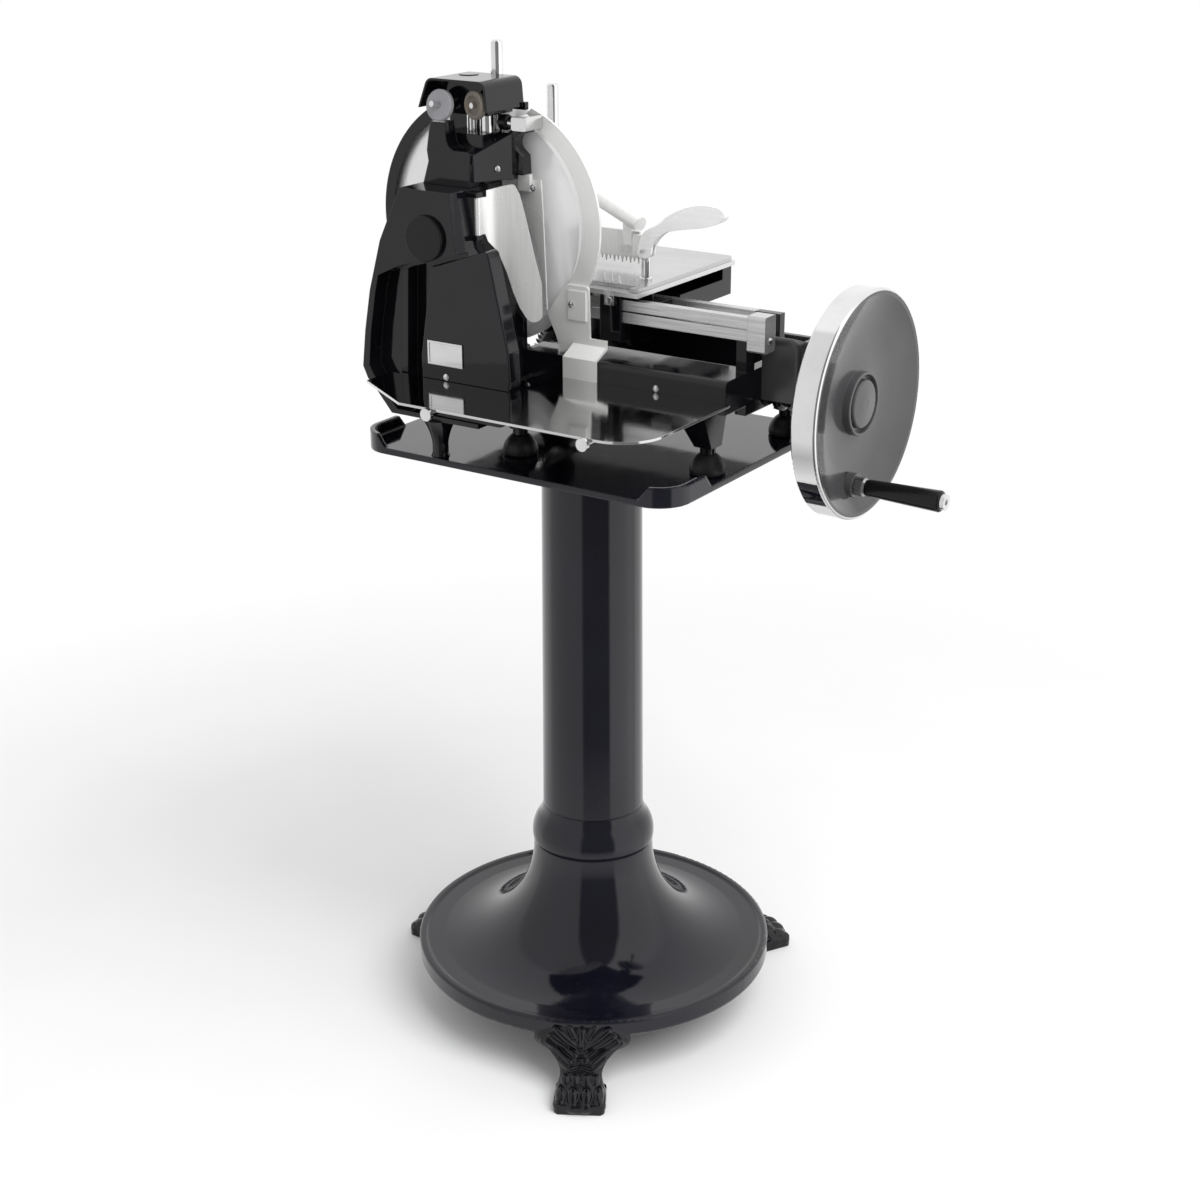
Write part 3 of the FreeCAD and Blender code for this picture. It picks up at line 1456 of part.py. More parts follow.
def make_deflector():
    """Slice deflector hinged beside the head, and the narrow stripper behind it."""
    pin_x, pin_y = s.deflector_x, s.deflector_y
    low, high = 1086, 1137
    lug = 6

    def head_face(z):
        slope = (s.head_lower_right - s.head_right) / (s.head_top - s.head_bottom)
        return s.head_lower_right - (z - s.head_bottom) * slope

    lugs = []
    for i, level in enumerate((low, high)):
        outline = [
            (head_face(level), level),
            (pin_x + 3, level),
            (pin_x + 3, level + lug),
            (head_face(level + lug), level + lug),
        ]
        lugs.append(plate(f"hinge_lug_{i}", "XZ", 13, (0, pin_y - 6.5, 0), [outline]))
    pin = cylinder("hinge_pin", 2, high + lug - low, (pin_x, pin_y, low))
    node("deflector_bracket", fuse("hinge_bracket", *lugs, pin))
    bend_out, bend_in = 48, 45.5
    first, last = 173, 122
    bend_x = pin_x + bend_out * 0.987
    bend_y = pin_y - bend_out * 0.161
    start_out, start_in = polar(size(bend_out), first), polar(size(bend_in), first)
    end_out, end_in = polar(size(bend_out), last), polar(size(bend_in), last)
    flat = 38
    along_x, along_y = polar(size(flat), last - 90)
    plan = [
        (*start_in, -bend_in),
        end_in,
        (end_in[0] + along_x, end_in[1] + along_y),
        (end_out[0] + along_x, end_out[1] + along_y),
        (*end_out, bend_out),
        start_out,
    ]
    face = [
        (-4, low + lug + 0.6),
        (8, low + lug + 0.6),
        (11, 1083.5),
        (22, 1070),
        (32, 1045),
        (39.5, 1020),
        (47, 1001.5),
        (54, 990, 11),
        (73, 988.5),
        (77.4, 994),
        (75, 1025.4),
        (65, 1068.2),
        (56, 1110.5),
        (49, 1138),
        (45, 1145, 6),
        (38, 1149.5),
        (16, 1145),
        (10, 1144),
        (10, high - 0.6),
        (-4, high - 0.6),
    ]
    turn = Rotation(Vector(0, 0, 1), last - 90)
    sheet = doc.addObject("Part::Common", "deflector_sheet")
    sheet.Base = plate("deflector_plan", "XY", 180, (bend_x, bend_y, 980), [plan])
    sheet.Tool = plate("deflector_face", "XZ", 140, (pin_x, pin_y, 0), [face], at_rotation=turn)
    sheet_tool_shift = turn.multVec(Vector(0, -70, 0))
    put(sheet.Tool, (pin_x + sheet_tool_shift.x, pin_y + sheet_tool_shift.y, 0), turn)
    barrel = cylinder("deflector_barrel", 4, high - low - lug - 0.6,
                      (pin_x, pin_y, low + lug + 0.3))
    bore = cylinder("deflector_bore", 2 + s.running_fit, 200, (pin_x, pin_y, low - 50))
    node("slice_deflector", cut("deflector", fuse("deflector_blank", sheet, barrel), bore))
    strip = plate("stripper_sheet", "XZ", 2, (0, -86, 0), [[
        (-50, 1149),
        (-43, 1111),
        (-26, 1089),
        (-15, 1040),
        (-11, 996),
        (-7.3, 996),
        (-8.3, 1030),
        (-11.5, 1111),
        (-13.8, 1152),
    ]])
    hanger = box("stripper_hanger", (-43.5, -26), (-92, -86), (1138, s.head_top + 12))
    node("stripper_strip", fuse("stripper", strip, hanger))


def make_receiving_plate():
    """Polished plate that catches the slices, hooked on two rods."""
    inner_x = s.cover_right + 3
    inner_y = s.tower_front - 2
    outline = [
        (s.plate_left, s.plate_front + 56),
        (s.plate_left + 94, s.plate_front),
        (s.plate_right - s.plate_corner, s.plate_front, s.plate_corner),
        (s.plate_right, s.plate_front + s.plate_corner),
        (s.plate_right, s.block_front - s.gap_small),
        (inner_x, s.block_front - s.gap_small),
        (inner_x, inner_y),
        (s.plate_left, inner_y),
    ]
    node("receiving_plate", plate("catch_plate", "XY", s.plate_thickness,
                                  (0, 0, s.plate_bottom), [outline]))
    z = s.plate_bottom - s.support_radius
    rods = []
    for name, x in (("left", s.support_left_x), ("right", s.support_right_x)):
        length = s.block_front + 17 - s.plate_front
        rod = cylinder(name + "_support", s.support_radius, length, (x, s.plate_front, z), "Y")
        head = cylinder(name + "_support_head", s.support_head, 5, (x, s.plate_front - 6, z), "Y")
        neck = cylinder(name + "_support_neck", s.support_radius, 1, (x, s.plate_front - 1, z),
                        "Y")
        rods.append(fuse(name + "_plate_support", rod, head, neck))
    node("plate_supports", group("plate_support_pair", *rods))


# ---------------------------------------------------------------- carriage side

def make_rails():
    """Two-bar front rail, single rear rail, and their end blocks with bolts."""
    y = (s.rail_front, s.rail_back)
    upper = s.rail_bottom + s.rail_bar + s.rail_gap
    lower_bar = box("lower_rail", (s.rail_left, s.rail_right), y,
                    (s.rail_bottom, s.rail_bottom + s.rail_bar))
    upper_bar = box("upper_rail", (s.rail_left, s.rail_right), y, (upper, upper + s.rail_bar))
    rear_y = (s.rear_rail_front, s.rear_rail_back)
    rear_bar = box("rear_rail_bar", (s.rail_left, s.rear_rail_right), rear_y,
                   (s.rear_rail_bottom, s.rear_rail_top))
    node("guide_rails", group("guide_rail_set", lower_bar, upper_bar, rear_bar))
    front_block = plate("front_end_block", "YZ", s.end_block_right - s.rail_right,
                        (s.rail_right, 0, 0),
                        [rounded_rectangle(s.rail_front, s.end_block_back, s.end_block_bottom,
                                           s.end_block_top, size(3))])
    lug = box("rear_end_block", (s.rear_rail_right, s.rear_lug_right), rear_y,
              (s.rear_rail_bottom, s.rear_rail_top))
    node("rail_end_blocks", group("rail_end_set", front_block, lug))


def make_carriage():
    """Carriage plate on its guide blocks, with the open box under its right side."""
    node("carriage_plate", box("carriage_sheet", (s.carriage_left, s.carriage_right),
                               (s.carriage_front, s.carriage_back),
                               (s.carriage_bottom, s.carriage_top)))
    guides = []
    for name, left, shoe_left in (("right", s.guide_right_x, s.guide_right_x - 20),
                                  ("left", s.guide_left_x, s.guide_left_x)):
        x = (left, left + s.guide_width)
        block = box(name + "_guide", x, (s.guide_front, s.guide_back),
                    (s.guide_bottom, s.carriage_bottom))
        slot = box(name + "_guide_slot", (left - 1, left + s.guide_width + 1),
                   (s.rail_front - s.slide_fit, s.rail_back + s.slide_fit),
                   (s.rail_bottom - s.slide_fit,
                    s.rail_bottom + 2 * s.rail_bar + s.rail_gap + s.slide_fit))
        guides.append(cut(name + "_guide_block", block, slot))
        shoe = box(name + "_shoe", (shoe_left, shoe_left + s.guide_width),
                   (s.rear_rail_front - 6, s.rear_rail_back + 6),
                   (s.rear_rail_bottom - 6, s.carriage_bottom))
        shoe_slot = box(name + "_shoe_slot", (shoe_left - 1, shoe_left + s.guide_width + 1),
                        (s.rear_rail_front - s.slide_fit, s.rear_rail_back + s.slide_fit),
                        (s.rear_rail_bottom - s.slide_fit, s.rear_rail_top + s.slide_fit))
        guides.append(cut(name + "_shoe_block", shoe, shoe_slot))
    node("guide_blocks", group("guide_set", *guides))
    clamp = box("clamp_tab", (s.guide_right_x + 8, s.guide_right_x + 22),
                (s.guide_front - 3, s.guide_front), (s.carriage_bottom - 12, s.carriage_bottom))
    screw = cylinder("clamp_screw", 4, 2, (s.guide_right_x + 15, s.guide_front - 5,
                                           s.carriage_bottom - 6), "Y")
    node("guide_clamp", fuse("guide_clamp_whole", clamp, screw))
    wall = s.side_box_wall
    outer = box("side_box_blank", (s.side_box_left, s.carriage_right),
                (s.side_box_front, s.side_box_back), (s.side_box_bottom, s.carriage_bottom))
    room = box("side_box_room", (s.side_box_left + wall, s.carriage_right - wall),
               (s.side_box_front + wall, s.side_box_back - wall),
               (s.side_box_bottom + wall, s.carriage_bottom + 1))
    window = box("side_box_window", (s.carriage_right - wall * 2, s.carriage_right + wall),
                 (s.side_box_front + wall, s.side_box_back - 22),
                 (s.side_box_sill, s.carriage_bottom + 1))
    passage = box("side_box_passage", (s.side_box_left - 1, s.carriage_right + 1),
                  (s.rear_rail_front - 3, s.rear_rail_back + 3),
                  (s.side_box_bottom - 1, s.rear_rail_top + 2))
    node("carriage_side_box", cut("side_box", outer, room, window, passage))


def make_table():
    """Food table that feeds towards the blade, with the press post and lever pillar."""
    top = s.carriage_top + s.gap_small
    surface = top + s.table_thickness
    outline = [
        (s.carriage_left, s.table_front),
        (s.carriage_right - s.table_ear, s.table_front),
        (s.carriage_right - s.table_ear, s.carriage_front + 2),
        (s.carriage_right, s.carriage_front + 2),
        (s.carriage_right, s.carriage_back - 12, 12),
        (s.carriage_right - 12, s.carriage_back),
        (s.carriage_left, s.carriage_back),
    ]
    node("food_table", plate("table_sheet", "XY", s.table_thickness, (0, 0, top), [outline]))
    pillar = cylinder("lever_pillar", s.pillar_radius, s.pillar_top - surface,
                      (s.pillar_x, 0, surface))
    foot = cylinder("lever_pillar_foot", s.pillar_radius + 2.5, 3, (s.pillar_x, 0, surface))
    tongue = box("lever_tongue", (s.pillar_x - 5, s.pillar_x + 5), (-2, 2),
                 (s.pillar_top, s.lever_pivot_z + 5))
    pin = cylinder("lever_pin", 2.5, 20, (s.pillar_x, -10, s.lever_pivot_z), "Y")
    post_height = s.press_post_top - surface
    post = [
        (0, 0),
        (s.press_post_radius + 4, 0),
        (s.press_post_radius + 4, 5),
        (s.press_post_radius, 8),
        (s.press_post_radius, post_height - 3, 4),
        (s.press_post_radius - 3, post_height),
        (0, post_height),
    ]
    pieces = [fuse("pillar_whole", pillar, foot, tongue, pin),
              turned("press_post", post, (s.press_post_x, s.press_post_y, surface))]
    for i in range(3):
        pieces.append(cone(f"table_pin_{i}", 2, 0.6, 9, (s.guide_right_x - 7 + 11 * i, -30, surface)))
    node("table_posts", group("table_post_set", *pieces))


def make_press():
    """Arm that slides on the post, toothed press plate and thumb lever."""
    collar_low, collar_high = 1112, 1158
    bar_start = Vector(s.press_post_x.value, s.press_post_y.value, 1138)
    bar_end = Vector(58, 22, 1089)
    direction = bar_end - bar_start
    turn = Rotation(Vector(0, 0, 1), direction)
    collar = cylinder("press_collar", s.press_post_radius + 5, collar_high - collar_low,
                      (s.press_post_x, s.press_post_y, collar_low))
    bar = cylinder("press_bar", 9.5, direction.Length, tuple(bar_start))
    bar.Placement.Rotation = turn
    fork = box("press_fork", (34, 46), (20, 30), (1062, 1096))
    bore = cylinder("press_bore", s.press_post_radius + s.slide_fit, 300,
                    (s.press_post_x, s.press_post_y, collar_low - 50))
    node("press_arm", cut("press_arm_bored", fuse("press_arm_blank", collar, bar, fork), bore))
    plate_low = s.carriage_top + s.gap_small + s.table_thickness + 18
    press = box("press_sheet", (-20, 52), (30, 34), (plate_low, 1078))
    shelf = box("press_shelf", (-20, 52), (34, 52), (plate_low, plate_low + 4))
    cheek = box("press_cheek", (46, 64), (22, 30), (1048, 1076))
    teeth = [cone(f"press_tooth_{i}_{j}", 0.8, 2.2, 9, (-14 + 12 * i, 38 + 9 * j, plate_low - 9))
             for i in range(6) for j in range(2)]
    node("press_plate", fuse("press_plate_whole", press, shelf, cheek, *teeth))
    outline = [(-9, -4), (-6, 10), (0, 22), (10, 28.5), (20, 33.5), (30, 42), (45, 51.5),
               (64, 59), (82, 62.5), (98, 62.3), (107.5, 59.6), (112, 54.5), (110.5, 48.8),
               (104, 43.8), (92, 38.7), (65, 33), (42, 28.5), (30, 24.5), (20, 17), (12, 5), (9, -6), (0, -9)]
    curve = Part.BSplineCurve()
    curve.interpolate([Vector(u, 0, v) for u, v in outline], PeriodicFlag=True)
    thickness = s.lever_thickness.value
    paddle = Part.Face(Part.Wire(curve.toShape())).extrude(Vector(0, thickness, 0))
    blank = shape_piece("lever_paddle", paddle,
                        (s.pillar_x, -s.lever_thickness / 2, s.lever_pivot_z))
    slot = box("lever_slot", (s.pillar_x - 20, s.pillar_x + 13),
               (-2 - s.gap_small, 2 + s.gap_small), (s.lever_pivot_z - 20, s.lever_pivot_z + 14))
    bore = cylinder("lever_bore", 2.5 + s.running_fit, 40,
                    (s.pillar_x, -20, s.lever_pivot_z), "Y")
    node("press_lever", cut("lever", blank, slot, bore))


# ---------------------------------------------------------------- drive at the right

def make_housing():
    """Rounded gear cover and the ribbed bearing housing that reaches to the flywheel."""
    outline = [
        (s.gear_cover_left, s.gear_cover_bottom),
        (s.gear_cover_right, s.gear_cover_bottom),
        (s.gear_cover_right, s.gear_cover_top - s.gear_cover_round, s.gear_cover_round),
        (s.gear_cover_right - s.gear_cover_round, s.gear_cover_top),
        (s.gear_cover_left, s.gear_cover_top),
    ]
    depth = s.gear_cover_back - s.gear_cover_front
    cover = plate("gear_cover_blank", "XZ", depth, (0, s.gear_cover_front, 0), [outline])
    rounded_edges(cover, 5, lambda edge: abs(edge.BoundBox.YMax) < 0.01
                  and edge.BoundBox.ZMax > s.gear_cover_bottom.value + 1
                  and edge.BoundBox.XMax > s.gear_cover_left.value + 1)
    rear_top = s.gear_cover_top - s.gear_cover_fall
    slope = [
        (s.gear_cover_front + 5, s.gear_cover_top),
        (s.gear_cover_back + 1, rear_top),
        (s.gear_cover_back + 1, s.gear_cover_top + 1),
        (s.gear_cover_front + 5, s.gear_cover_top + 1),
    ]
    above = plate("gear_cover_slope", "YZ", s.gear_cover_right - s.gear_cover_left + 2,
                  (s.gear_cover_left - 1, 0, 0), [slope])
    wall = s.cover_shell
    inside = [
        (s.gear_cover_front + wall, s.gear_cover_bottom - 1),
        (s.gear_cover_back - wall, s.gear_cover_bottom - 1),
        (s.gear_cover_back - wall, rear_top - wall * 2),
        (s.gear_cover_front + wall, s.gear_cover_top - wall * 3),
    ]
    room = plate("gear_cover_room", "YZ", s.gear_cover_right - s.gear_cover_left + 1 - wall,
                 (s.gear_cover_left - 1, 0, 0), [inside])
    around = cylinder("gear_cover_clearance", s.housing_radius + s.gap_small, 80,
                      (s.gear_cover_left - 10, s.shaft_y, s.shaft_z), "X")
    node("gear_cover", cut("gear_cover_shell", cover, above, room, around))
    length = s.housing_end - s.base_right
    bush = s.shaft_radius + s.bush_wall
    profile = [
        (s.shaft_radius + 1, 0),
        (s.housing_radius, 0),
        (s.housing_radius, 6),
    ]
    for i in range(4):
        start = 6 + 12 * i
        radius = s.housing_radius - 2 * i
        profile += [(radius - 5, start + 3), (radius - 5, start + 9), (radius - 2, start + 12)]
    profile += [
        (s.housing_end_radius, length),
        (s.shaft_radius + 1, length),
    ]
    blank = turned("housing_blank", profile, (s.base_right, s.shaft_y, s.shaft_z), "X")
    seats = [
        cylinder("inner_bush_seat", bush, 12, (s.base_right, s.shaft_y, s.shaft_z), "X"),
        cylinder("outer_bush_seat", bush, 12, (s.housing_end - 12, s.shaft_y, s.shaft_z), "X"),
    ]
    node("bearing_housing", cut("housing", blank, *seats))


def bush(name, radius, length, at, axis):
    outer = cylinder(name + "_outer", radius + s.bush_wall, length, at, axis)
    inner = cylinder(name + "_inner", radius + s.running_fit, length, at, axis)
    return cut(name, outer, inner)


def make_bushes():
    """Bronze bushes of the main shaft, the cross shaft and the blade spindle."""
    wall_front = s.tower_front + s.recess_depth + s.front_wall
    pieces = [
        bush("main_inner_bush", s.shaft_radius, 15, (-50, s.shaft_y, s.shaft_z), "X"),
        bush("main_middle_bush", s.shaft_radius, 12, (s.base_right, s.shaft_y, s.shaft_z), "X"),
        bush("main_outer_bush", s.shaft_radius, 12, (s.housing_end - 12, s.shaft_y, s.shaft_z),
             "X"),
        bush("cross_rear_bush", s.shaft_radius, 14, (s.spindle_x, -50, s.shaft_z), "Y"),
        bush("cross_middle_bush", s.shaft_radius, s.back_plate,
             (s.spindle_x, s.tower_back, s.shaft_z), "Y"),
        bush("cross_front_bush", s.shaft_radius, 8, (s.spindle_x, wall_front - 8, s.shaft_z),
             "Y"),
        bush("spindle_rear_bush", s.spindle_radius, s.back_plate,
             (s.spindle_x, s.tower_back, s.spindle_z), "Y"),
        bush("spindle_front_bush", s.spindle_radius, 8,
             (s.spindle_x, wall_front - 8, s.spindle_z), "Y"),
    ]
    node("shaft_bushes", group("bush_set", *pieces))


def make_flywheel():
    """Chrome rim, dished dark disc, hub cap, main shaft and the crank pin."""
    at = (0, s.shaft_y, s.shaft_z)
    face = s.wheel_face
    back = face - s.wheel_width
    rim = [
        (s.wheel_disc_radius - 7, back + 2),
        (s.wheel_radius - 2, back, 3),
        (s.wheel_radius, back + 2),
        (s.wheel_radius, face - 3, 4),
        (s.wheel_radius - 3, face),
        (s.wheel_disc_radius, face),
        (s.wheel_disc_radius, face - 4),
        (s.wheel_disc_radius - 7, face - 4),
    ]
    node("flywheel_rim", turned("rim", rim, at, "X"))
    boss = s.wheel_hub_cap + 9.5
    disc = [
        (s.shaft_radius, face - 40),
        (s.wheel_hub_radius, face - 40),
        (s.wheel_hub_radius, face - 26),
        (s.wheel_disc_radius - 12, face - 9),
        (s.wheel_disc_radius - 7, face - 9),
        (s.wheel_disc_radius - 7, face - 4),
        (s.wheel_disc_radius, face - 4),
        (s.wheel_disc_radius, face - 0.5),
        (s.wheel_disc_radius - 4, face - 0.5, -180),
        (boss, face - 17),
        (boss, face - 8.5, 1.5),
        (boss - 1.5, face - 7),
        (boss - 3.5, face - 7),
        (boss - 5, face - 13),
        (s.wheel_hub_cap, face - 13),
        (s.wheel_hub_cap, face - 16),
        (s.shaft_radius, face - 16),
    ]
    crank_y, crank_z = s.shaft_y + s.crank_offset_y, s.shaft_z + s.crank_offset_z
    blank = turned("disc", disc, at, "X")
    pin_boss = cylinder("crank_boss", 15, 12, (face - 14, crank_y, crank_z), "X")
    pin_hole = cylinder("crank_hole", s.crank_pin_radius, 60, (face - 40, crank_y, crank_z), "X")
    node("flywheel_disc", cut("disc_drilled", fuse("disc_blank", blank, pin_boss), pin_hole))
    cap = [
        (0, 0),
        (s.wheel_hub_cap, 0),
        (s.wheel_hub_cap, 7, 3),
        (s.wheel_hub_cap - 3, 10),
        (8, 11.5),
        (0, 11.5),
    ]
    node("hub_cap", turned("wheel_cap", cap, (face - 16, s.shaft_y, s.shaft_z), "X"))
    start = s.spindle_x + s.gear_module * s.bevel_small_teeth / 2
    node("main_shaft", cylinder("main_shaft_bar", s.shaft_radius, face - 16 - start,
                                (start, s.shaft_y, s.shaft_z), "X"))
    pin_back = face - 14
    collar = [
        (0, 0),
        (s.crank_pin_radius, 0),
        (s.crank_pin_radius, 12),
        (10, 12),
        (11.5, 14),
        (11.5, s.grip_start - pin_back - 3),
        (10, s.grip_start - pin_back - 0.4),
        (s.crank_pin_radius, s.grip_start - pin_back - 0.4),
        (s.crank_pin_radius, s.grip_start + s.grip_length - pin_back),
        (0, s.grip_start + s.grip_length - pin_back),
    ]
    node("crank_pin", turned("crank_stud", collar, (pin_back, crank_y, crank_z), "X"))
    grip = [
        (s.crank_pin_radius + s.running_fit, 0),
        (s.grip_radius - 4, 0),
        (s.grip_radius - 2.8, 1.5),
        (s.grip_radius, s.grip_length - 3.4, 3),
        (s.grip_radius - 3, s.grip_length - 0.4),
        (s.crank_pin_radius + s.running_fit, s.grip_length - 0.4),
    ]
    node("crank_grip", turned("grip", grip, (s.grip_start, crank_y, crank_z), "X"))
    end = s.grip_start + s.grip_length
    head = cylinder("grip_cap_head", 9.5, 5, (end, crank_y, crank_z), "X")
    socket = doc.addObject("Part::Prism", "grip_cap_socket")
    socket.Polygon = 6
    bind(socket, "Circumradius", 4)
    bind(socket, "Height", 10)
    put(socket, (end + 2, crank_y, crank_z), TURN_TO["X"])
    node("grip_cap", cut("grip_cap_socketed", head, socket))


def round_head(name, at, direction):
    """Domed slotted screw head on a face that looks along a direction."""
    head = [
        (0, 0),
        (4.2, 0),
        (4.2, 0.8, 5),
        (0, 3),
    ]
    turn = Rotation(Vector(0, 0, 1), direction)
    dome = turned(name + "_dome", head, at, rotation=turn)
    slot = doc.addObject("Part::Box", name + "_slot")
    for prop, value in (("Length", 12), ("Width", 1.2), ("Height", 5)):
        bind(slot, prop, value)
    shift = turn.multVec(Vector(-6, -0.6, 2))
    put(slot, tuple(size(a) + b for a, b in zip(at, shift)), turn)
    return cut(name, dome, slot)


def make_screws():
    """Round-headed screws of the casing, and the rail bolts."""
    front = Vector(0, -1, 0)
    right = Vector(1, 0, 0)
    places = [
        ("cover_screw", (s.badge_left + 26, s.tower_front, s.badge_bottom - 14), front),
        ("block_screw", (s.block_left + 6, s.block_front, 900), front),
        ("beam_screw", (s.block_right + 133, s.block_front, 923.6), front),
        ("bracket_screw", (22, s.ring_front - 5.5, s.block_top + 60), front),
        ("strip_screw", (-21, -92, s.head_top - 3), front),
        ("arm_screw", (s.head_right + 18, s.wing_front - 17, s.head_top + 20),
         Vector(0.87, -0.49, 0)),
        ("rail_bolt", (s.end_block_right, -34, s.end_block_top - 30), right),
        ("rear_bolt", (s.base_right, s.rear_rail_front + 6, s.side_wall_top + 5), right),
    ]
    node("casing_screws", group("screw_set", *(round_head(*place) for place in places)))


def check(objects):
    """Stops when an object of the document failed or a piece has no sound shape."""
    failed = [item.Name for item in objects if {"Invalid", "Error"} & set(item.State)]
    for label, item in NODES.items():
        if item.Shape.isNull() or not item.Shape.isValid() or item.Shape.Volume <= 0:
            failed.append(label)
    if failed:
        raise RuntimeError("no sound shape: " + ", ".join(failed))


def main():
    make_pedestal()
    stand_screws = make_paws()
    stand_screws += make_tray()
    node("stand_screws", group("stand_screw_set", *stand_screws))
    make_levelling_feet()
    make_base()
    make_tower()
    make_gear_train()
    make_blade()
    make_guards()
    make_upper_arm()
    make_sharpener()
    make_deflector()
    make_receiving_plate()
    make_rails()
    make_carriage()
    make_table()
    make_press()
    make_housing()
    make_bushes()
    make_flywheel()
    make_screws()
    doc.recompute()
    check(doc.Objects)
    os.makedirs("parts", exist_ok=True)
    for label, item in NODES.items():
        item.Shape.exportStep(f"parts/{label}.step")
    print(len(NODES), "pieces written")


main()
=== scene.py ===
"""Looks of the hand crank meat slicer on its pedestal: finishes, carved feet and the studio."""
import json
import math

import bmesh
import bpy
from mathutils import Matrix, Vector

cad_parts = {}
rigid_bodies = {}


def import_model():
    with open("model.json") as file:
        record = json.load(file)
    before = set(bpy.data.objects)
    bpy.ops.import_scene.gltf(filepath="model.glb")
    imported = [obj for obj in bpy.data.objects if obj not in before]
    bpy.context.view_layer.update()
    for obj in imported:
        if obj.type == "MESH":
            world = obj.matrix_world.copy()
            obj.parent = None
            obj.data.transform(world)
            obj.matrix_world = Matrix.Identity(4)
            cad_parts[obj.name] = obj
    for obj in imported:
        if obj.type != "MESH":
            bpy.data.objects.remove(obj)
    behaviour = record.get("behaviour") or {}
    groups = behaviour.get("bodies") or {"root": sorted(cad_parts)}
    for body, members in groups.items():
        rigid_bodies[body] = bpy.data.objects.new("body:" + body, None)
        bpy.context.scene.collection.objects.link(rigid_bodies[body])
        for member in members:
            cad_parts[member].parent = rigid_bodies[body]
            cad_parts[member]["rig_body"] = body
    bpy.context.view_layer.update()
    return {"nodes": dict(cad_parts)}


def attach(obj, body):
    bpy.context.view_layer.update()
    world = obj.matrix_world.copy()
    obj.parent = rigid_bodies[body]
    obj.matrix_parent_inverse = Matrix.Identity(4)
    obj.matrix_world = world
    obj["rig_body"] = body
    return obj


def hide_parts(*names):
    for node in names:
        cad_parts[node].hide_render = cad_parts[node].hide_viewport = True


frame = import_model()
NODES = frame["nodes"]

# Foot of the pedestal's axis and a point on the blade's axis, metres.
COLUMN = Vector((-0.0858, 0.0099, 0.0))
SPINDLE = Vector((-0.1943, 0.0, 1.0898))

# Scales of the textures' noise, in waves per metre.
ENAMEL_SHADE, ENAMEL_GLOSS, ORANGE_PEEL, CASTING_WAVE = 9, 35, 240, 16
STEEL_CLOUD, TURNED_CLOUD, PLATING_HAZE, PLATING_WAVE = 14, 12, 22, 40
# Depths of the textures' relief, metres.
ENAMEL_DEPTH, STEEL_DEPTH, PLATING_DEPTH, GRAIN_DEPTH = 0.0006, 0.0002, 0.0004, 0.0008
# Radii of worn edges, metres.
ENAMEL_EDGE, STEEL_EDGE, SMALL_EDGE = 0.0016, 0.0007, 0.0008


# ---------------------------------------------------------------- node helpers

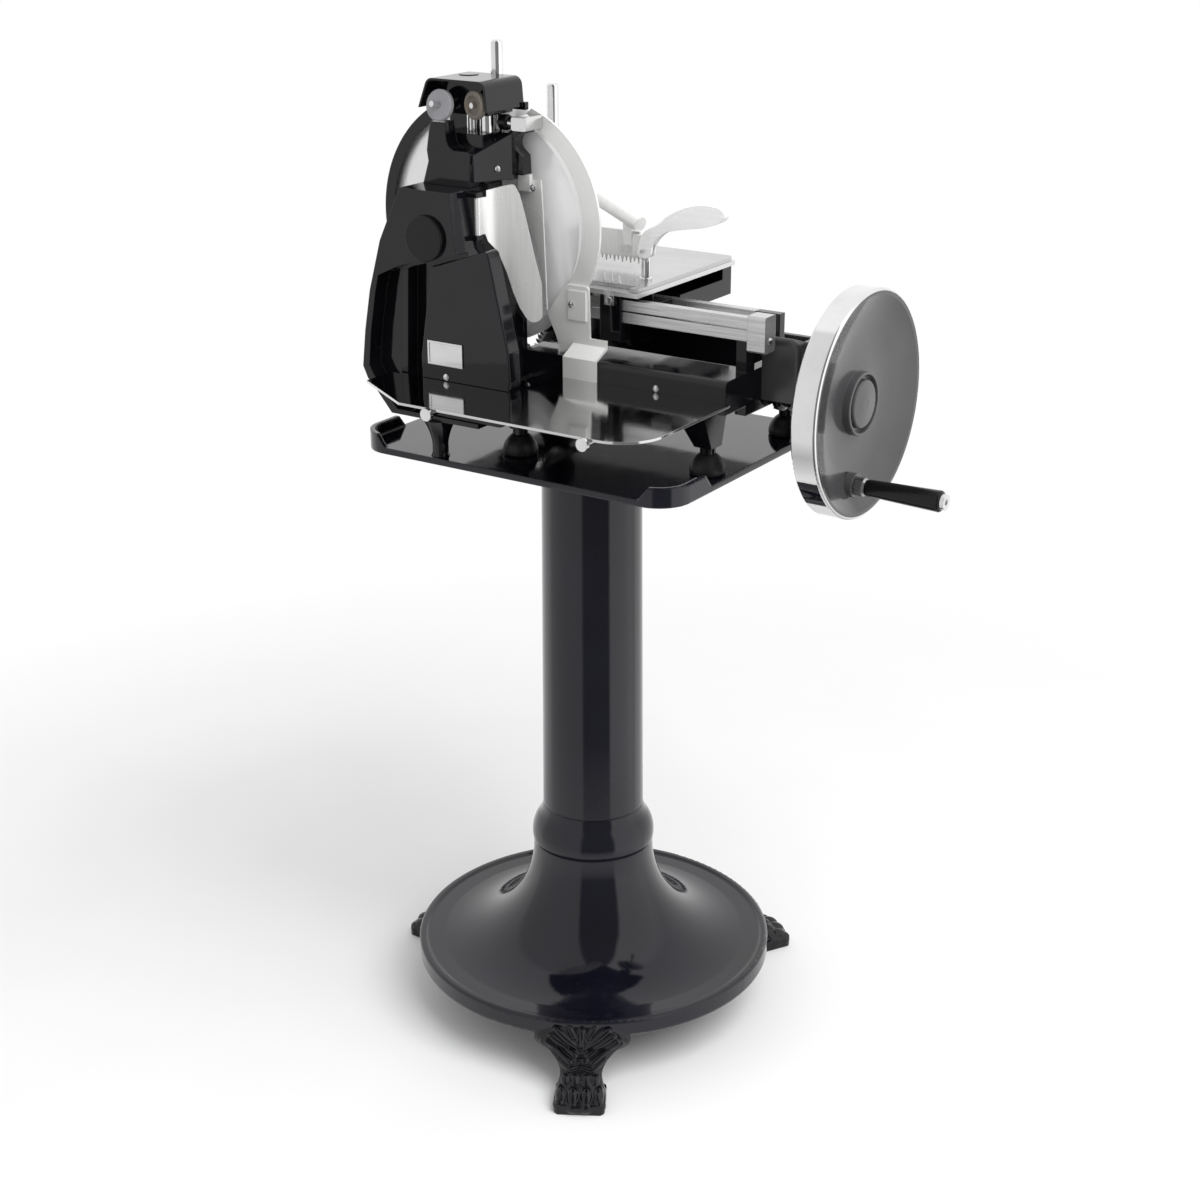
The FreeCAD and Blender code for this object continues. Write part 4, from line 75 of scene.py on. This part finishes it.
class Graph:
    """A material's node tree with short calls for the nodes that repeat."""

    def __init__(self, name):
        self.material = bpy.data.materials.new(name)
        self.material.use_nodes = True
        self.tree = self.material.node_tree
        self.tree.nodes.clear()
        self.out = self.tree.nodes.new("ShaderNodeOutputMaterial")
        self.place = self.add("ShaderNodeTexCoord").outputs["Object"]

    def add(self, kind, **settings):
        made = self.tree.nodes.new(kind)
        for key, value in settings.items():
            setattr(made, key, value)
        return made

    def link(self, source, target):
        self.tree.links.new(source, target)

    def mapped(self, scale, location=(0, 0, 0)):
        """The object's coordinates, scaled and then moved."""
        mapping = self.add("ShaderNodeMapping")
        mapping.inputs["Scale"].default_value = scale
        mapping.inputs["Location"].default_value = location
        self.link(self.place, mapping.inputs["Vector"])
        return mapping.outputs["Vector"]

    def length(self, vector):
        made = self.add("ShaderNodeVectorMath", operation="LENGTH")
        self.link(vector, made.inputs[0])
        return made.outputs["Value"]

    def noise(self, scale, detail=3.0, place=None, rough=0.5):
        made = self.add("ShaderNodeTexNoise")
        made.inputs["Scale"].default_value = scale
        made.inputs["Detail"].default_value = detail
        made.inputs["Roughness"].default_value = rough
        self.link(place or self.place, made.inputs["Vector"])
        return made.outputs["Fac"]

    def lines(self, along, across, stretched):
        """Noise drawn out to fine lines along one axis, with its scales across and along."""
        scale = [across, across, across]
        scale["xyz".index(along)] = stretched
        return self.noise(1.0, 3, self.mapped(tuple(scale)))

    def rings(self, centre, along, scale):
        """Noise with fine rings round an axis through the given centre."""
        flat = [1.0, 1.0, 1.0]
        flat["xyz".index(along)] = 0.0
        moved = self.mapped(tuple(flat), tuple(-c * f for c, f in zip(centre, flat)))
        made = self.add("ShaderNodeTexNoise", noise_dimensions="1D")
        made.inputs["Scale"].default_value = scale
        made.inputs["Detail"].default_value = 3.0
        self.link(self.length(moved), made.inputs["W"])
        return made.outputs["Fac"]

    def spread(self, value, low, high, from_low=0.3, from_high=0.7):
        """A value between two limits, brought to between low and high."""
        made = self.add("ShaderNodeMapRange")
        made.inputs["From Min"].default_value = from_low
        made.inputs["From Max"].default_value = from_high
        made.inputs["To Min"].default_value = low
        made.inputs["To Max"].default_value = high
        self.link(value, made.inputs["Value"])
        return made.outputs["Result"]

    def tint(self, value, low, high, from_low=0.3, from_high=0.7):
        """A colour between low and high, chosen by a value between two limits."""
        ramp = self.add("ShaderNodeValToRGB")
        for stop, place, colour in zip(ramp.color_ramp.elements, (from_low, from_high),
                                       (low, high)):
            stop.position = place
            stop.color = (*colour, 1)
        self.link(value, ramp.inputs["Fac"])
        return ramp.outputs["Color"]

    def rounded(self, radius):
        """Normals of edges rounded to a radius."""
        made = self.add("ShaderNodeBevel", samples=4)
        made.inputs["Radius"].default_value = radius
        return made.outputs["Normal"]

    def bump(self, height, strength, distance, before=None):
        made = self.add("ShaderNodeBump")
        made.inputs["Strength"].default_value = strength
        made.inputs["Distance"].default_value = distance
        self.link(height, made.inputs["Height"])
        if before is not None:
            self.link(before, made.inputs["Normal"])
        return made.outputs["Normal"]

    def principled(self, colour, roughness, normal, **sockets):
        """A principled shader, with its other sockets by name and _ for a space."""
        made = self.add("ShaderNodeBsdfPrincipled")
        self.link(colour, made.inputs["Base Color"])
        self.link(roughness, made.inputs["Roughness"])
        self.link(normal, made.inputs["Normal"])
        for key, value in sockets.items():
            made.inputs[key.replace("_", " ")].default_value = value
        return made.outputs["BSDF"]

    def mixed(self, share, first, second):
        made = self.add("ShaderNodeMixShader")
        for socket, source in zip(made.inputs, (share, first, second)):
            self.link(source, socket)
        return made.outputs["Shader"]

    def finished(self, shader):
        self.link(shader, self.out.inputs["Surface"])
        return self.material


# ---------------------------------------------------------------- finishes

def grey(value, blue=1.0):
    """A grey whose blue is multiplied by the given factor."""
    return (value, value, value * blue)


def enamel_parts(g, dark, light, roughness, wave, edge=ENAMEL_EDGE):
    """Colour, roughness and normal of stove enamel with a faint orange peel."""
    colour = g.tint(g.noise(ENAMEL_SHADE, 4), dark, light)
    rough = g.spread(g.noise(ENAMEL_GLOSS, 4), roughness * 0.7, roughness * 1.4)
    peel = g.bump(g.noise(ORANGE_PEEL, 2), 0.05, ENAMEL_DEPTH, g.rounded(edge))
    return colour, rough, g.bump(g.noise(CASTING_WAVE, 2), wave, ENAMEL_DEPTH, peel)


def steel_parts(g, dark, light, roughness, streaks, depth):
    """Colour, roughness and normal of ground steel whose lines are the given streaks."""
    colour = g.tint(streaks, dark, light, 0.35, 0.65)
    rough = g.spread(g.noise(STEEL_CLOUD, 3), roughness * 0.75, roughness * 1.3)
    return colour, rough, g.bump(streaks, depth, STEEL_DEPTH, g.rounded(STEEL_EDGE))


def enamel(name, dark, light, roughness=0.1, wave=0.25, ior=1.47, edge=ENAMEL_EDGE):
    """Stove enamel on a casting."""
    g = Graph(name)
    parts = enamel_parts(g, dark, light, roughness, wave, edge)
    return g.finished(g.principled(*parts, IOR=ior))


def lined_metal(name, dark, light, roughness, along, across=900.0, depth=0.12, metallic=1.0):
    """Ground or brushed metal, with fine lines along one axis."""
    g = Graph(name)
    streaks = g.lines(along, across, across / 60)
    parts = steel_parts(g, dark, light, roughness, streaks, depth)
    return g.finished(g.principled(*parts, Metallic=metallic))


def steel_dark_below(name, dark, light, roughness, along):
    """Steel plate: ground steel on the top and edges, near black on the faces that point down.
    """
    g = Graph(name)
    streaks = g.lines(along, across=700.0, stretched=12.0)
    steel = g.principled(*steel_parts(g, dark, light, roughness, streaks, depth=0.1),
                         Metallic=0.8)
    # Near black, enamel-like shading for every face that points down, chosen by the face's
    # normal.
    near_black_below = g.principled(*enamel_parts(g, grey(0.004), grey(0.008), roughness=0.12, wave=0.2))
    axes = g.add("ShaderNodeSeparateXYZ")
    g.link(g.add("ShaderNodeNewGeometry").outputs["True Normal"], axes.inputs[0])
    upward = g.spread(axes.outputs["Z"], 0, 1, from_low=-0.6, from_high=-0.5)
    return g.finished(g.mixed(upward, near_black_below, steel))


def turned_metal(name, dark, light, roughness, centre, along, scale=1500.0, depth=0.1,
                 metallic=1.0):
    """Metal turned on a lathe, with fine rings round an axis through the given centre."""
    g = Graph(name)
    rings = g.rings(centre, along, scale)
    rough = g.spread(g.noise(TURNED_CLOUD, 3), roughness * 0.75, roughness * 1.3)
    return g.finished(g.principled(g.tint(rings, dark, light), rough,
                                   g.bump(rings, depth, STEEL_DEPTH), Metallic=metallic))


def chrome(name, dark, light, roughness):
    """Plated metal: clear reflections with faint haze from handling."""
    g = Graph(name)
    haze = g.noise(PLATING_HAZE, 5)
    rough = g.spread(haze, roughness * 0.6, roughness * 1.8)
    normal = g.bump(g.noise(PLATING_WAVE, 2), 0.03, PLATING_DEPTH, g.rounded(SMALL_EDGE))
    return g.finished(g.principled(g.tint(haze, dark, light), rough, normal, Metallic=1.0))


def grainy(name, dark, light, roughness, grain, relief, **sockets):
    """Rubber, stone, bronze and moulded plastic: a grain of the given fineness."""
    g = Graph(name)
    fine = g.noise(grain, 4, rough=0.65)
    rough = g.spread(g.noise(grain / 3, 3), roughness * 0.85, min(1.0, roughness * 1.15))
    normal = g.bump(fine, relief, GRAIN_DEPTH, g.rounded(SMALL_EDGE))
    return g.finished(g.principled(g.tint(fine, dark, light), rough, normal, **sockets))


# Finishes: name, darkest and lightest colour, roughness, and what sets each one apart.
LOOKS = {
    "stand": enamel("stand_enamel", grey(0.003, 1.9), grey(0.006, 2.0), 0.07, edge=0.004),
    "paw": enamel("paw_enamel", grey(0.002, 1.5), grey(0.004, 1.6), 0.06, wave=0.1,
                  ior=1.42, edge=0.0006),
    "casting": enamel("casting_enamel", grey(0.002, 1.3), grey(0.005, 1.4), 0.08, ior=1.45),
    "drive": enamel("drive_enamel", grey(0.030, 1.05), grey(0.045, 1.05), 0.2),
    "wheel": enamel("wheel_enamel", grey(0.045, 1.04), grey(0.060, 1.04), 0.13, wave=0.08,
                    ior=1.5),
    "chrome": chrome("rim_chrome", grey(0.72), grey(0.80), 0.05),
    "bright": chrome("bright_parts", grey(0.66), grey(0.76), 0.14),
    "blade": turned_metal("blade_steel", grey(0.93), grey(0.97), 0.22, SPINDLE, "y",
                          depth=0.04, metallic=0.3),
    "ring": turned_metal("ring_steel", (0.80, 0.80, 0.785), (0.86, 0.86, 0.845), 0.42,
                         SPINDLE, "y", scale=900.0, metallic=0.4),
    "plate": lined_metal("plate_steel", grey(0.58), grey(0.66), 0.08, "x", across=700.0,
                         depth=0.04),
    "sheet": lined_metal("sheet_steel", (0.78, 0.78, 0.77), (0.86, 0.86, 0.85), 0.27, "z",
                         depth=0.08, metallic=0.55),
    "table": lined_metal("table_steel", grey(0.47), grey(0.54), 0.26, "x", depth=0.06,
                         metallic=0.8),
    "lever": lined_metal("lever_steel", grey(0.86), grey(0.93), 0.3, "x", depth=0.04,
                         metallic=0.4),
    "rail": lined_metal("rail_steel", grey(0.50), grey(0.62), 0.24, "x", metallic=0.85),
    "carriage": steel_dark_below("carriage_steel", grey(0.62), grey(0.72), 0.25, "x"),
    "machined": lined_metal("machined_steel", grey(0.40), grey(0.50), 0.3, "z"),
    "bronze": grainy("bush_bronze", (0.36, 0.22, 0.09), (0.48, 0.31, 0.13), 0.35,
                     grain=300, relief=0.1, Metallic=1.0),
    "grip": grainy("grip_plastic", grey(0.003), grey(0.005), 0.22, grain=500, relief=0.03,
                   IOR=1.4, Specular_IOR_Level=0.4),
    "rubber": grainy("foot_rubber", grey(0.006), grey(0.012), 0.45, grain=700, relief=0.15,
                     Specular_IOR_Level=0.35),
    "grey_stone": grainy("stone_grey", grey(0.20, 1.06), grey(0.30, 1.06), 0.85,
                         grain=1600, relief=0.6),
    "brown_stone": grainy("stone_brown", (0.105, 0.090, 0.072), (0.185, 0.165, 0.140), 0.85,
                          grain=1600, relief=0.6),
}

# The nodes that wear each finish. The carved feet wear "paw".
WEARS = {
    "stand": ["pedestal_base", "pedestal_column", "paw_foot_front", "paw_foot_right",
              "paw_foot_left", "stand_tray"],
    "casting": ["machine_base", "tower", "tower_back_plate", "tower_cover", "upper_arm",
                "sharpener_hood", "blade_edge_guard", "carriage_side_box", "deflector_bracket",
                "foot_stems", "bearing_housing", "guide_blocks"],
    "drive": ["gear_cover"],
    "wheel": ["flywheel_disc", "hub_cap"],
    "chrome": ["flywheel_rim", "sharpener_rod", "table_posts"],
    "bright": ["badge_plate", "grip_cap", "casing_screws", "guide_clamp", "stone_spindles",
               "plate_supports", "ring_clamp"],
    "blade": ["blade"],
    "ring": ["ring_guard", "ring_bracket"],
    "plate": ["receiving_plate"],
    "sheet": ["slice_deflector", "stripper_strip", "press_plate", "press_arm"],
    "table": ["food_table"],
    "lever": ["press_lever"],
    "carriage": ["carriage_plate"],
    "rail": ["guide_rails", "rail_end_blocks"],
    "machined": ["lower_gear", "idler_gear", "blade_gear", "bevel_gear", "cross_shaft",
                 "blade_spindle", "main_shaft", "crank_pin", "stand_screws"],
    "bronze": ["shaft_bushes"],
    "grip": ["crank_grip", "guard_knob", "blade_shaft_cap"],
    "rubber": ["levelling_feet"],
    "grey_stone": ["grinding_stone"],
    "brown_stone": ["honing_stone"],
}
for look, wearers in WEARS.items():
    for wearer in wearers:
        NODES[wearer].data.materials.clear()
        NODES[wearer].data.materials.append(LOOKS[look])


# ---------------------------------------------------------------- carved feet

# Leaf ridges of a paw, seen square from the front: ends (side, height), half width and
# relief, mm.
LEAVES = (((3, 79), (35, 106), 4.6, 4.2), ((9, 73), (41, 97), 4.2, 3.8),
          ((15, 65), (47, 89), 4.2, 3.8), ((2, 59), (14, 55), 3.8, 3.4),
          ((14, 55), (30, 67), 3.8, 3.6), ((30, 68), (52, 88), 4.0, 3.4),
          ((0, 84), (0, 104), 4.5, 3.6), ((10, 96), (19, 112), 3.8, 3.0),
          ((3, 67), (6, 67), 4.0, 3.2))
# Knuckles: middle (side, height), half width, half height and relief, mm.
KNUCKLES = ((9.0, 26.5, 7.2, 11.0, 5.0), (25.5, 26.0, 6.4, 12.0, 4.4),
            (7.6, 45.5, 5.6, 6.4, 3.8), (20.6, 45.0, 5.4, 6.4, 3.6))
GROUND = 1.4                    # depth of the ground between the ridges, mm
CARVED_BACK = 228               # reach from the pedestal's axis at which the carving ends, mm
CARVED_TOE = 313                # reach from which the height seen from the front counts, mm
CARVED_LOW, LOW_FADE = 15.5, 2  # height at which the carving starts, and its fade, mm
CARVED_HIGH, HIGH_FADE = 116, 6
# The paw's front faces this way, along its reach and up; the relief fades between two cosines.
PAW_VIEW = Vector((0.931, 0.0, 0.365))
FACING_NONE, FACING_FULL = 0.1, 0.5
# Middle and radii of the shoulder under the disc, metres.
SHOULDER = (0.2350, 0.0, 0.0700), (0.0185, 0.0640, 0.0255)
CARVING_MESH = 0.0014           # edge of the carved mesh's squares, metres


def share(value, low, high):
    """How far a value is from low to high, from 0 to 1."""
    return min(1.0, max(0.0, (value - low) / (high - low)))


def paw_relief(side, height):
    """Carved relief in millimetres at a place on the paw's front, the same on both sides."""
    side = abs(side)
    relief = 0.0
    for (x1, y1), (x2, y2), width, tall in LEAVES:
        run_x, run_y = x2 - x1, y2 - y1
        along = ((side - x1) * run_x + (height - y1) * run_y) / (run_x ** 2 + run_y ** 2)
        along = min(1.0, max(0.0, along))
        away = math.hypot(side - x1 - along * run_x, height - y1 - along * run_y) / width
        if away < 1:
            relief = max(relief, tall * (1 - away * away) ** 0.7)
    for x, y, wide, high, tall in KNUCKLES:
        away = math.hypot((side - x) / wide, (height - y) / high)
        if away < 1:
            relief = max(relief, tall * (1 - away * away) ** 0.5)
    return relief - GROUND


def added_shell(bm, middle, radii):
    """Ellipsoid in the given mesh."""
    ball = bmesh.ops.create_uvsphere(bm, u_segments=32, v_segments=20, radius=1.0)["verts"]
    for vert in ball:
        vert.co = Vector(middle) + Vector(c * r for c, r in zip(vert.co, radii))


def added_plinth(bm, inner=0.2560, outer=0.3085, half=0.0335, corner=0.008, height=0.0155,
                 steps=6):
    """Block that the knuckles stand on, with rounded upright edges."""
    middle = (inner + outer) / 2
    outline = []
    for x, y, start in ((outer, half, 0), (inner, half, 90), (inner, -half, 180),
                        (outer, -half, 270)):
        centre = Vector((x - math.copysign(corner, x - middle), y - math.copysign(corner, y),
                         0))
        for step in range(steps + 1):
            turn = math.radians(start + step * 90 / steps)
            outline.append(centre + corner * Vector((math.cos(turn), math.sin(turn), 0)))
    low = [bm.verts.new(point) for point in outline]
    high = [bm.verts.new(point + Vector((0, 0, height))) for point in outline]
    bm.faces.new(reversed(low))
    bm.faces.new(high)
    for i in range(len(low)):
        after = (i + 1) % len(low)
        bm.faces.new((low[i], low[after], high[after], high[i]))


def even_mesh(name, bm):
    """The shapes in bm joined into one closed mesh of small squares."""
    mesh = bpy.data.meshes.new(name)
    bm.to_mesh(mesh)
    blank = bpy.data.objects.new(name, mesh)
    bpy.context.collection.objects.link(blank)
    remesh = blank.modifiers.new("even", "REMESH")
    remesh.mode = "VOXEL"
    remesh.voxel_size = CARVING_MESH
    blank.modifiers.new("soften", "SMOOTH").iterations = 3
    bpy.context.view_layer.update()
    even = bpy.data.meshes.new_from_object(
        blank.evaluated_get(bpy.context.evaluated_depsgraph_get()))
    bpy.data.objects.remove(blank)
    return even


def carved_paw(node_name, angle):
    """The casting with its plinth and shoulder, carved with leaves and two rows of knuckles."""
    turn = Matrix.Translation(COLUMN) @ Matrix.Rotation(math.radians(angle), 4, "Z")
    bm = bmesh.new()
    bm.from_mesh(NODES[node_name].data)
    bmesh.ops.transform(bm, matrix=turn.inverted(), verts=bm.verts)
    added_plinth(bm)
    added_shell(bm, *SHOULDER)
    carved = even_mesh(node_name + "_blank", bm)
    bm.free()
    normals = [Vector(v.normal) for v in carved.vertices]
    for vert, normal in zip(carved.vertices, normals):
        reach, side, up = (c * 1000 for c in vert.co)
        height = PAW_VIEW.x * up - PAW_VIEW.z * (reach - CARVED_TOE)
        depth = (share(normal.dot(PAW_VIEW), FACING_NONE, FACING_FULL)
                 * share(height, CARVED_LOW, CARVED_LOW + LOW_FADE)
                 * share(CARVED_HIGH - height, 0, HIGH_FADE))
        if depth > 0 and reach > CARVED_BACK:
            vert.co += normal * (depth * paw_relief(side, height) / 1000)
    carved.transform(turn)
    carved.name = node_name + "_carved"
    carved.polygons.foreach_set("use_smooth", [True] * len(carved.polygons))
    carved.materials.clear()
    carved.materials.append(LOOKS["paw"])
    piece = bpy.data.objects.new(node_name + "_carved", carved)
    bpy.context.collection.objects.link(piece)
    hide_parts(node_name)
    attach(piece, NODES[node_name]["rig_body"])


for paw, angle in (("paw_foot_front", -60), ("paw_foot_right", 60), ("paw_foot_left", 180)):
    carved_paw(paw, angle)


# ---------------------------------------------------------------- studio

# The photograph's viewpoint: turned round from the front, above the horizon, and rolled,
# degrees; place from the pedestal's foot, metres; lens and sensor, mm.
VIEW_TURN, VIEW_RISE, VIEW_ROLL = 33.49, 21.40, -0.14
VIEW_PLACE = Vector((1.38124, -2.06939, 1.56557))
LENS, SENSOR = 60.75, 36.0
# The lamp over the right shoulder: place, target and size in metres, power in watts.
LAMP_PLACE, LAMP_TARGET = Vector((2.9, -1.0, 4.2)), Vector((0, 0, 0.3))
LAMP_SIZE, LAMP_POWER = 3.4, 200
# Distances from the pedestal's axis, metres, between which the floor turns to plain white,
# and between which it gives way to the studio in reflections.
FLOOR_WHITE, FLOOR_MIRRORED = (0.9, 1.7), (0.35, 0.95)
FLOOR_HALF = 30                 # half the floor's side, metres
# Brightness that reflections see in the walls, at angles from the front towards the right,
# degrees: pale all round, with one dark side at the front right.
WALLS = ((-180, 1.1), (-80, 1.1), (-72, 0.86), (9, 0.86), (13, 0.22), (71, 0.22),
         (75, 1.35), (128, 1.35), (140, 1.1), (180, 1.1))
# Heights of a reflected direction between which the walls darken towards the floor, and how
# much of their brightness is left there.
WALL_FOOT, WALL_LIT, WALL_SHADE = -0.95, -0.45, 0.15
FILL = 0.72                     # brightness of the world on matt surfaces


def placed(name, data):
    item = bpy.data.objects.new(name, data)
    bpy.context.collection.objects.link(item)
    return item


def camera():
    data = bpy.data.cameras.new("camera")
    data.lens = LENS
    data.sensor_width = SENSOR
    data.clip_start, data.clip_end = 0.05, 60
    turn, rise, roll = (math.radians(a) for a in (VIEW_TURN, VIEW_RISE, VIEW_ROLL))
    ahead = Vector((-math.sin(turn) * math.cos(rise), math.cos(turn) * math.cos(rise),
                    -math.sin(rise)))
    level = Vector((math.cos(turn), math.sin(turn), 0))
    upright = level.cross(ahead)
    right = level * math.cos(roll) + upright * math.sin(roll)
    up = upright * math.cos(roll) - level * math.sin(roll)
    item = placed("camera", data)
    item.matrix_world = (Matrix.Translation(COLUMN + VIEW_PLACE)
                         @ Matrix((right, up, -ahead)).transposed().to_4x4())
    bpy.context.scene.camera = item


def lamp():
    """Wide soft lamp that polished parts don't mirror."""
    data = bpy.data.lights.new("key", "AREA")
    data.size = LAMP_SIZE
    data.energy = LAMP_POWER
    item = placed("key", data)
    item.location = LAMP_PLACE
    item.rotation_mode = "QUATERNION"
    item.rotation_quaternion = (LAMP_TARGET - LAMP_PLACE).to_track_quat("-Z", "Y")
    item.visible_glossy = False


def floor():
    """White paper that keeps the shadow; polished metal sees the studio instead of it."""
    mesh = bpy.data.meshes.new("floor")
    bm = bmesh.new()
    bmesh.ops.create_grid(bm, x_segments=2, y_segments=2, size=FLOOR_HALF)
    bm.to_mesh(mesh)
    item = placed("floor", mesh)
    g = Graph("floor_paper")
    away = g.length(g.mapped((1, 1, 1), tuple(-COLUMN)))
    paper = g.add("ShaderNodeBsdfDiffuse")
    g.link(g.tint(g.noise(3, 2), grey(0.86), grey(0.88)), paper.inputs["Color"])
    white = g.add("ShaderNodeEmission")
    clear = g.add("ShaderNodeBsdfTransparent")
    seen = g.mixed(g.spread(away, 0, 1, *FLOOR_WHITE), paper.outputs["BSDF"],
                   white.outputs["Emission"])
    mirrored = g.add("ShaderNodeMath", operation="MULTIPLY")
    g.link(g.add("ShaderNodeLightPath").outputs["Is Glossy Ray"], mirrored.inputs[0])
    g.link(g.spread(away, 0, 1, *FLOOR_MIRRORED), mirrored.inputs[1])
    mesh.materials.append(g.finished(
        g.mixed(mirrored.outputs["Value"], seen, clear.outputs["BSDF"])))


def world():
    """White for the camera, walls for reflections and an even fill for the rest."""
    made = bpy.data.worlds.new("studio")
    bpy.context.scene.world = made
    made.use_nodes = True
    tree = made.node_tree
    tree.nodes.clear()

    def math_node(operation, *values):
        item = tree.nodes.new("ShaderNodeMath")
        item.operation = operation
        for socket, value in zip(item.inputs, values):
            if isinstance(value, (int, float)):
                socket.default_value = value
            else:
                tree.links.new(value, socket)
        return item.outputs["Value"]

    direction = tree.nodes.new("ShaderNodeTexCoord").outputs["Generated"]
    parts = tree.nodes.new("ShaderNodeSeparateXYZ")
    tree.links.new(direction, parts.inputs[0])
    around = math_node("ARCTAN2", parts.outputs["X"],
                       math_node("MULTIPLY", parts.outputs["Y"], -1.0))
    ramp = tree.nodes.new("ShaderNodeValToRGB")
    tree.links.new(math_node("ADD", math_node("DIVIDE", around, 2 * math.pi), 0.5),
                   ramp.inputs["Fac"])
    stops = ramp.color_ramp.elements
    while len(stops) < len(WALLS):
        stops.new(0.5)
    for stop, (angle, level) in zip(stops, WALLS):
        stop.position = angle / 360 + 0.5
        stop.color = (*grey(level), 1)
    shade = tree.nodes.new("ShaderNodeMapRange")
    for key, number in (("From Min", WALL_FOOT), ("From Max", WALL_LIT),
                        ("To Min", WALL_SHADE), ("To Max", 1.0)):
        shade.inputs[key].default_value = number
    tree.links.new(parts.outputs["Z"], shade.inputs["Value"])
    mirrored = math_node("MULTIPLY", ramp.outputs["Color"], shade.outputs["Result"])
    path = tree.nodes.new("ShaderNodeLightPath")
    glossy = path.outputs["Is Glossy Ray"]
    fill = math_node("MULTIPLY", math_node("SUBTRACT", 1.0, glossy), FILL)
    strength = math_node("ADD", math_node("MULTIPLY", glossy, mirrored), fill)
    background = tree.nodes.new("ShaderNodeBackground")
    background.inputs["Color"].default_value = (1, 1, 1, 1)
    tree.links.new(math_node("MAXIMUM", strength, path.outputs["Is Camera Ray"]),
                   background.inputs["Strength"])
    out = tree.nodes.new("ShaderNodeOutputWorld")
    tree.links.new(background.outputs["Background"], out.inputs["Surface"])


camera()
floor()
world()
lamp()
bpy.context.scene.view_settings.view_transform = "Standard"
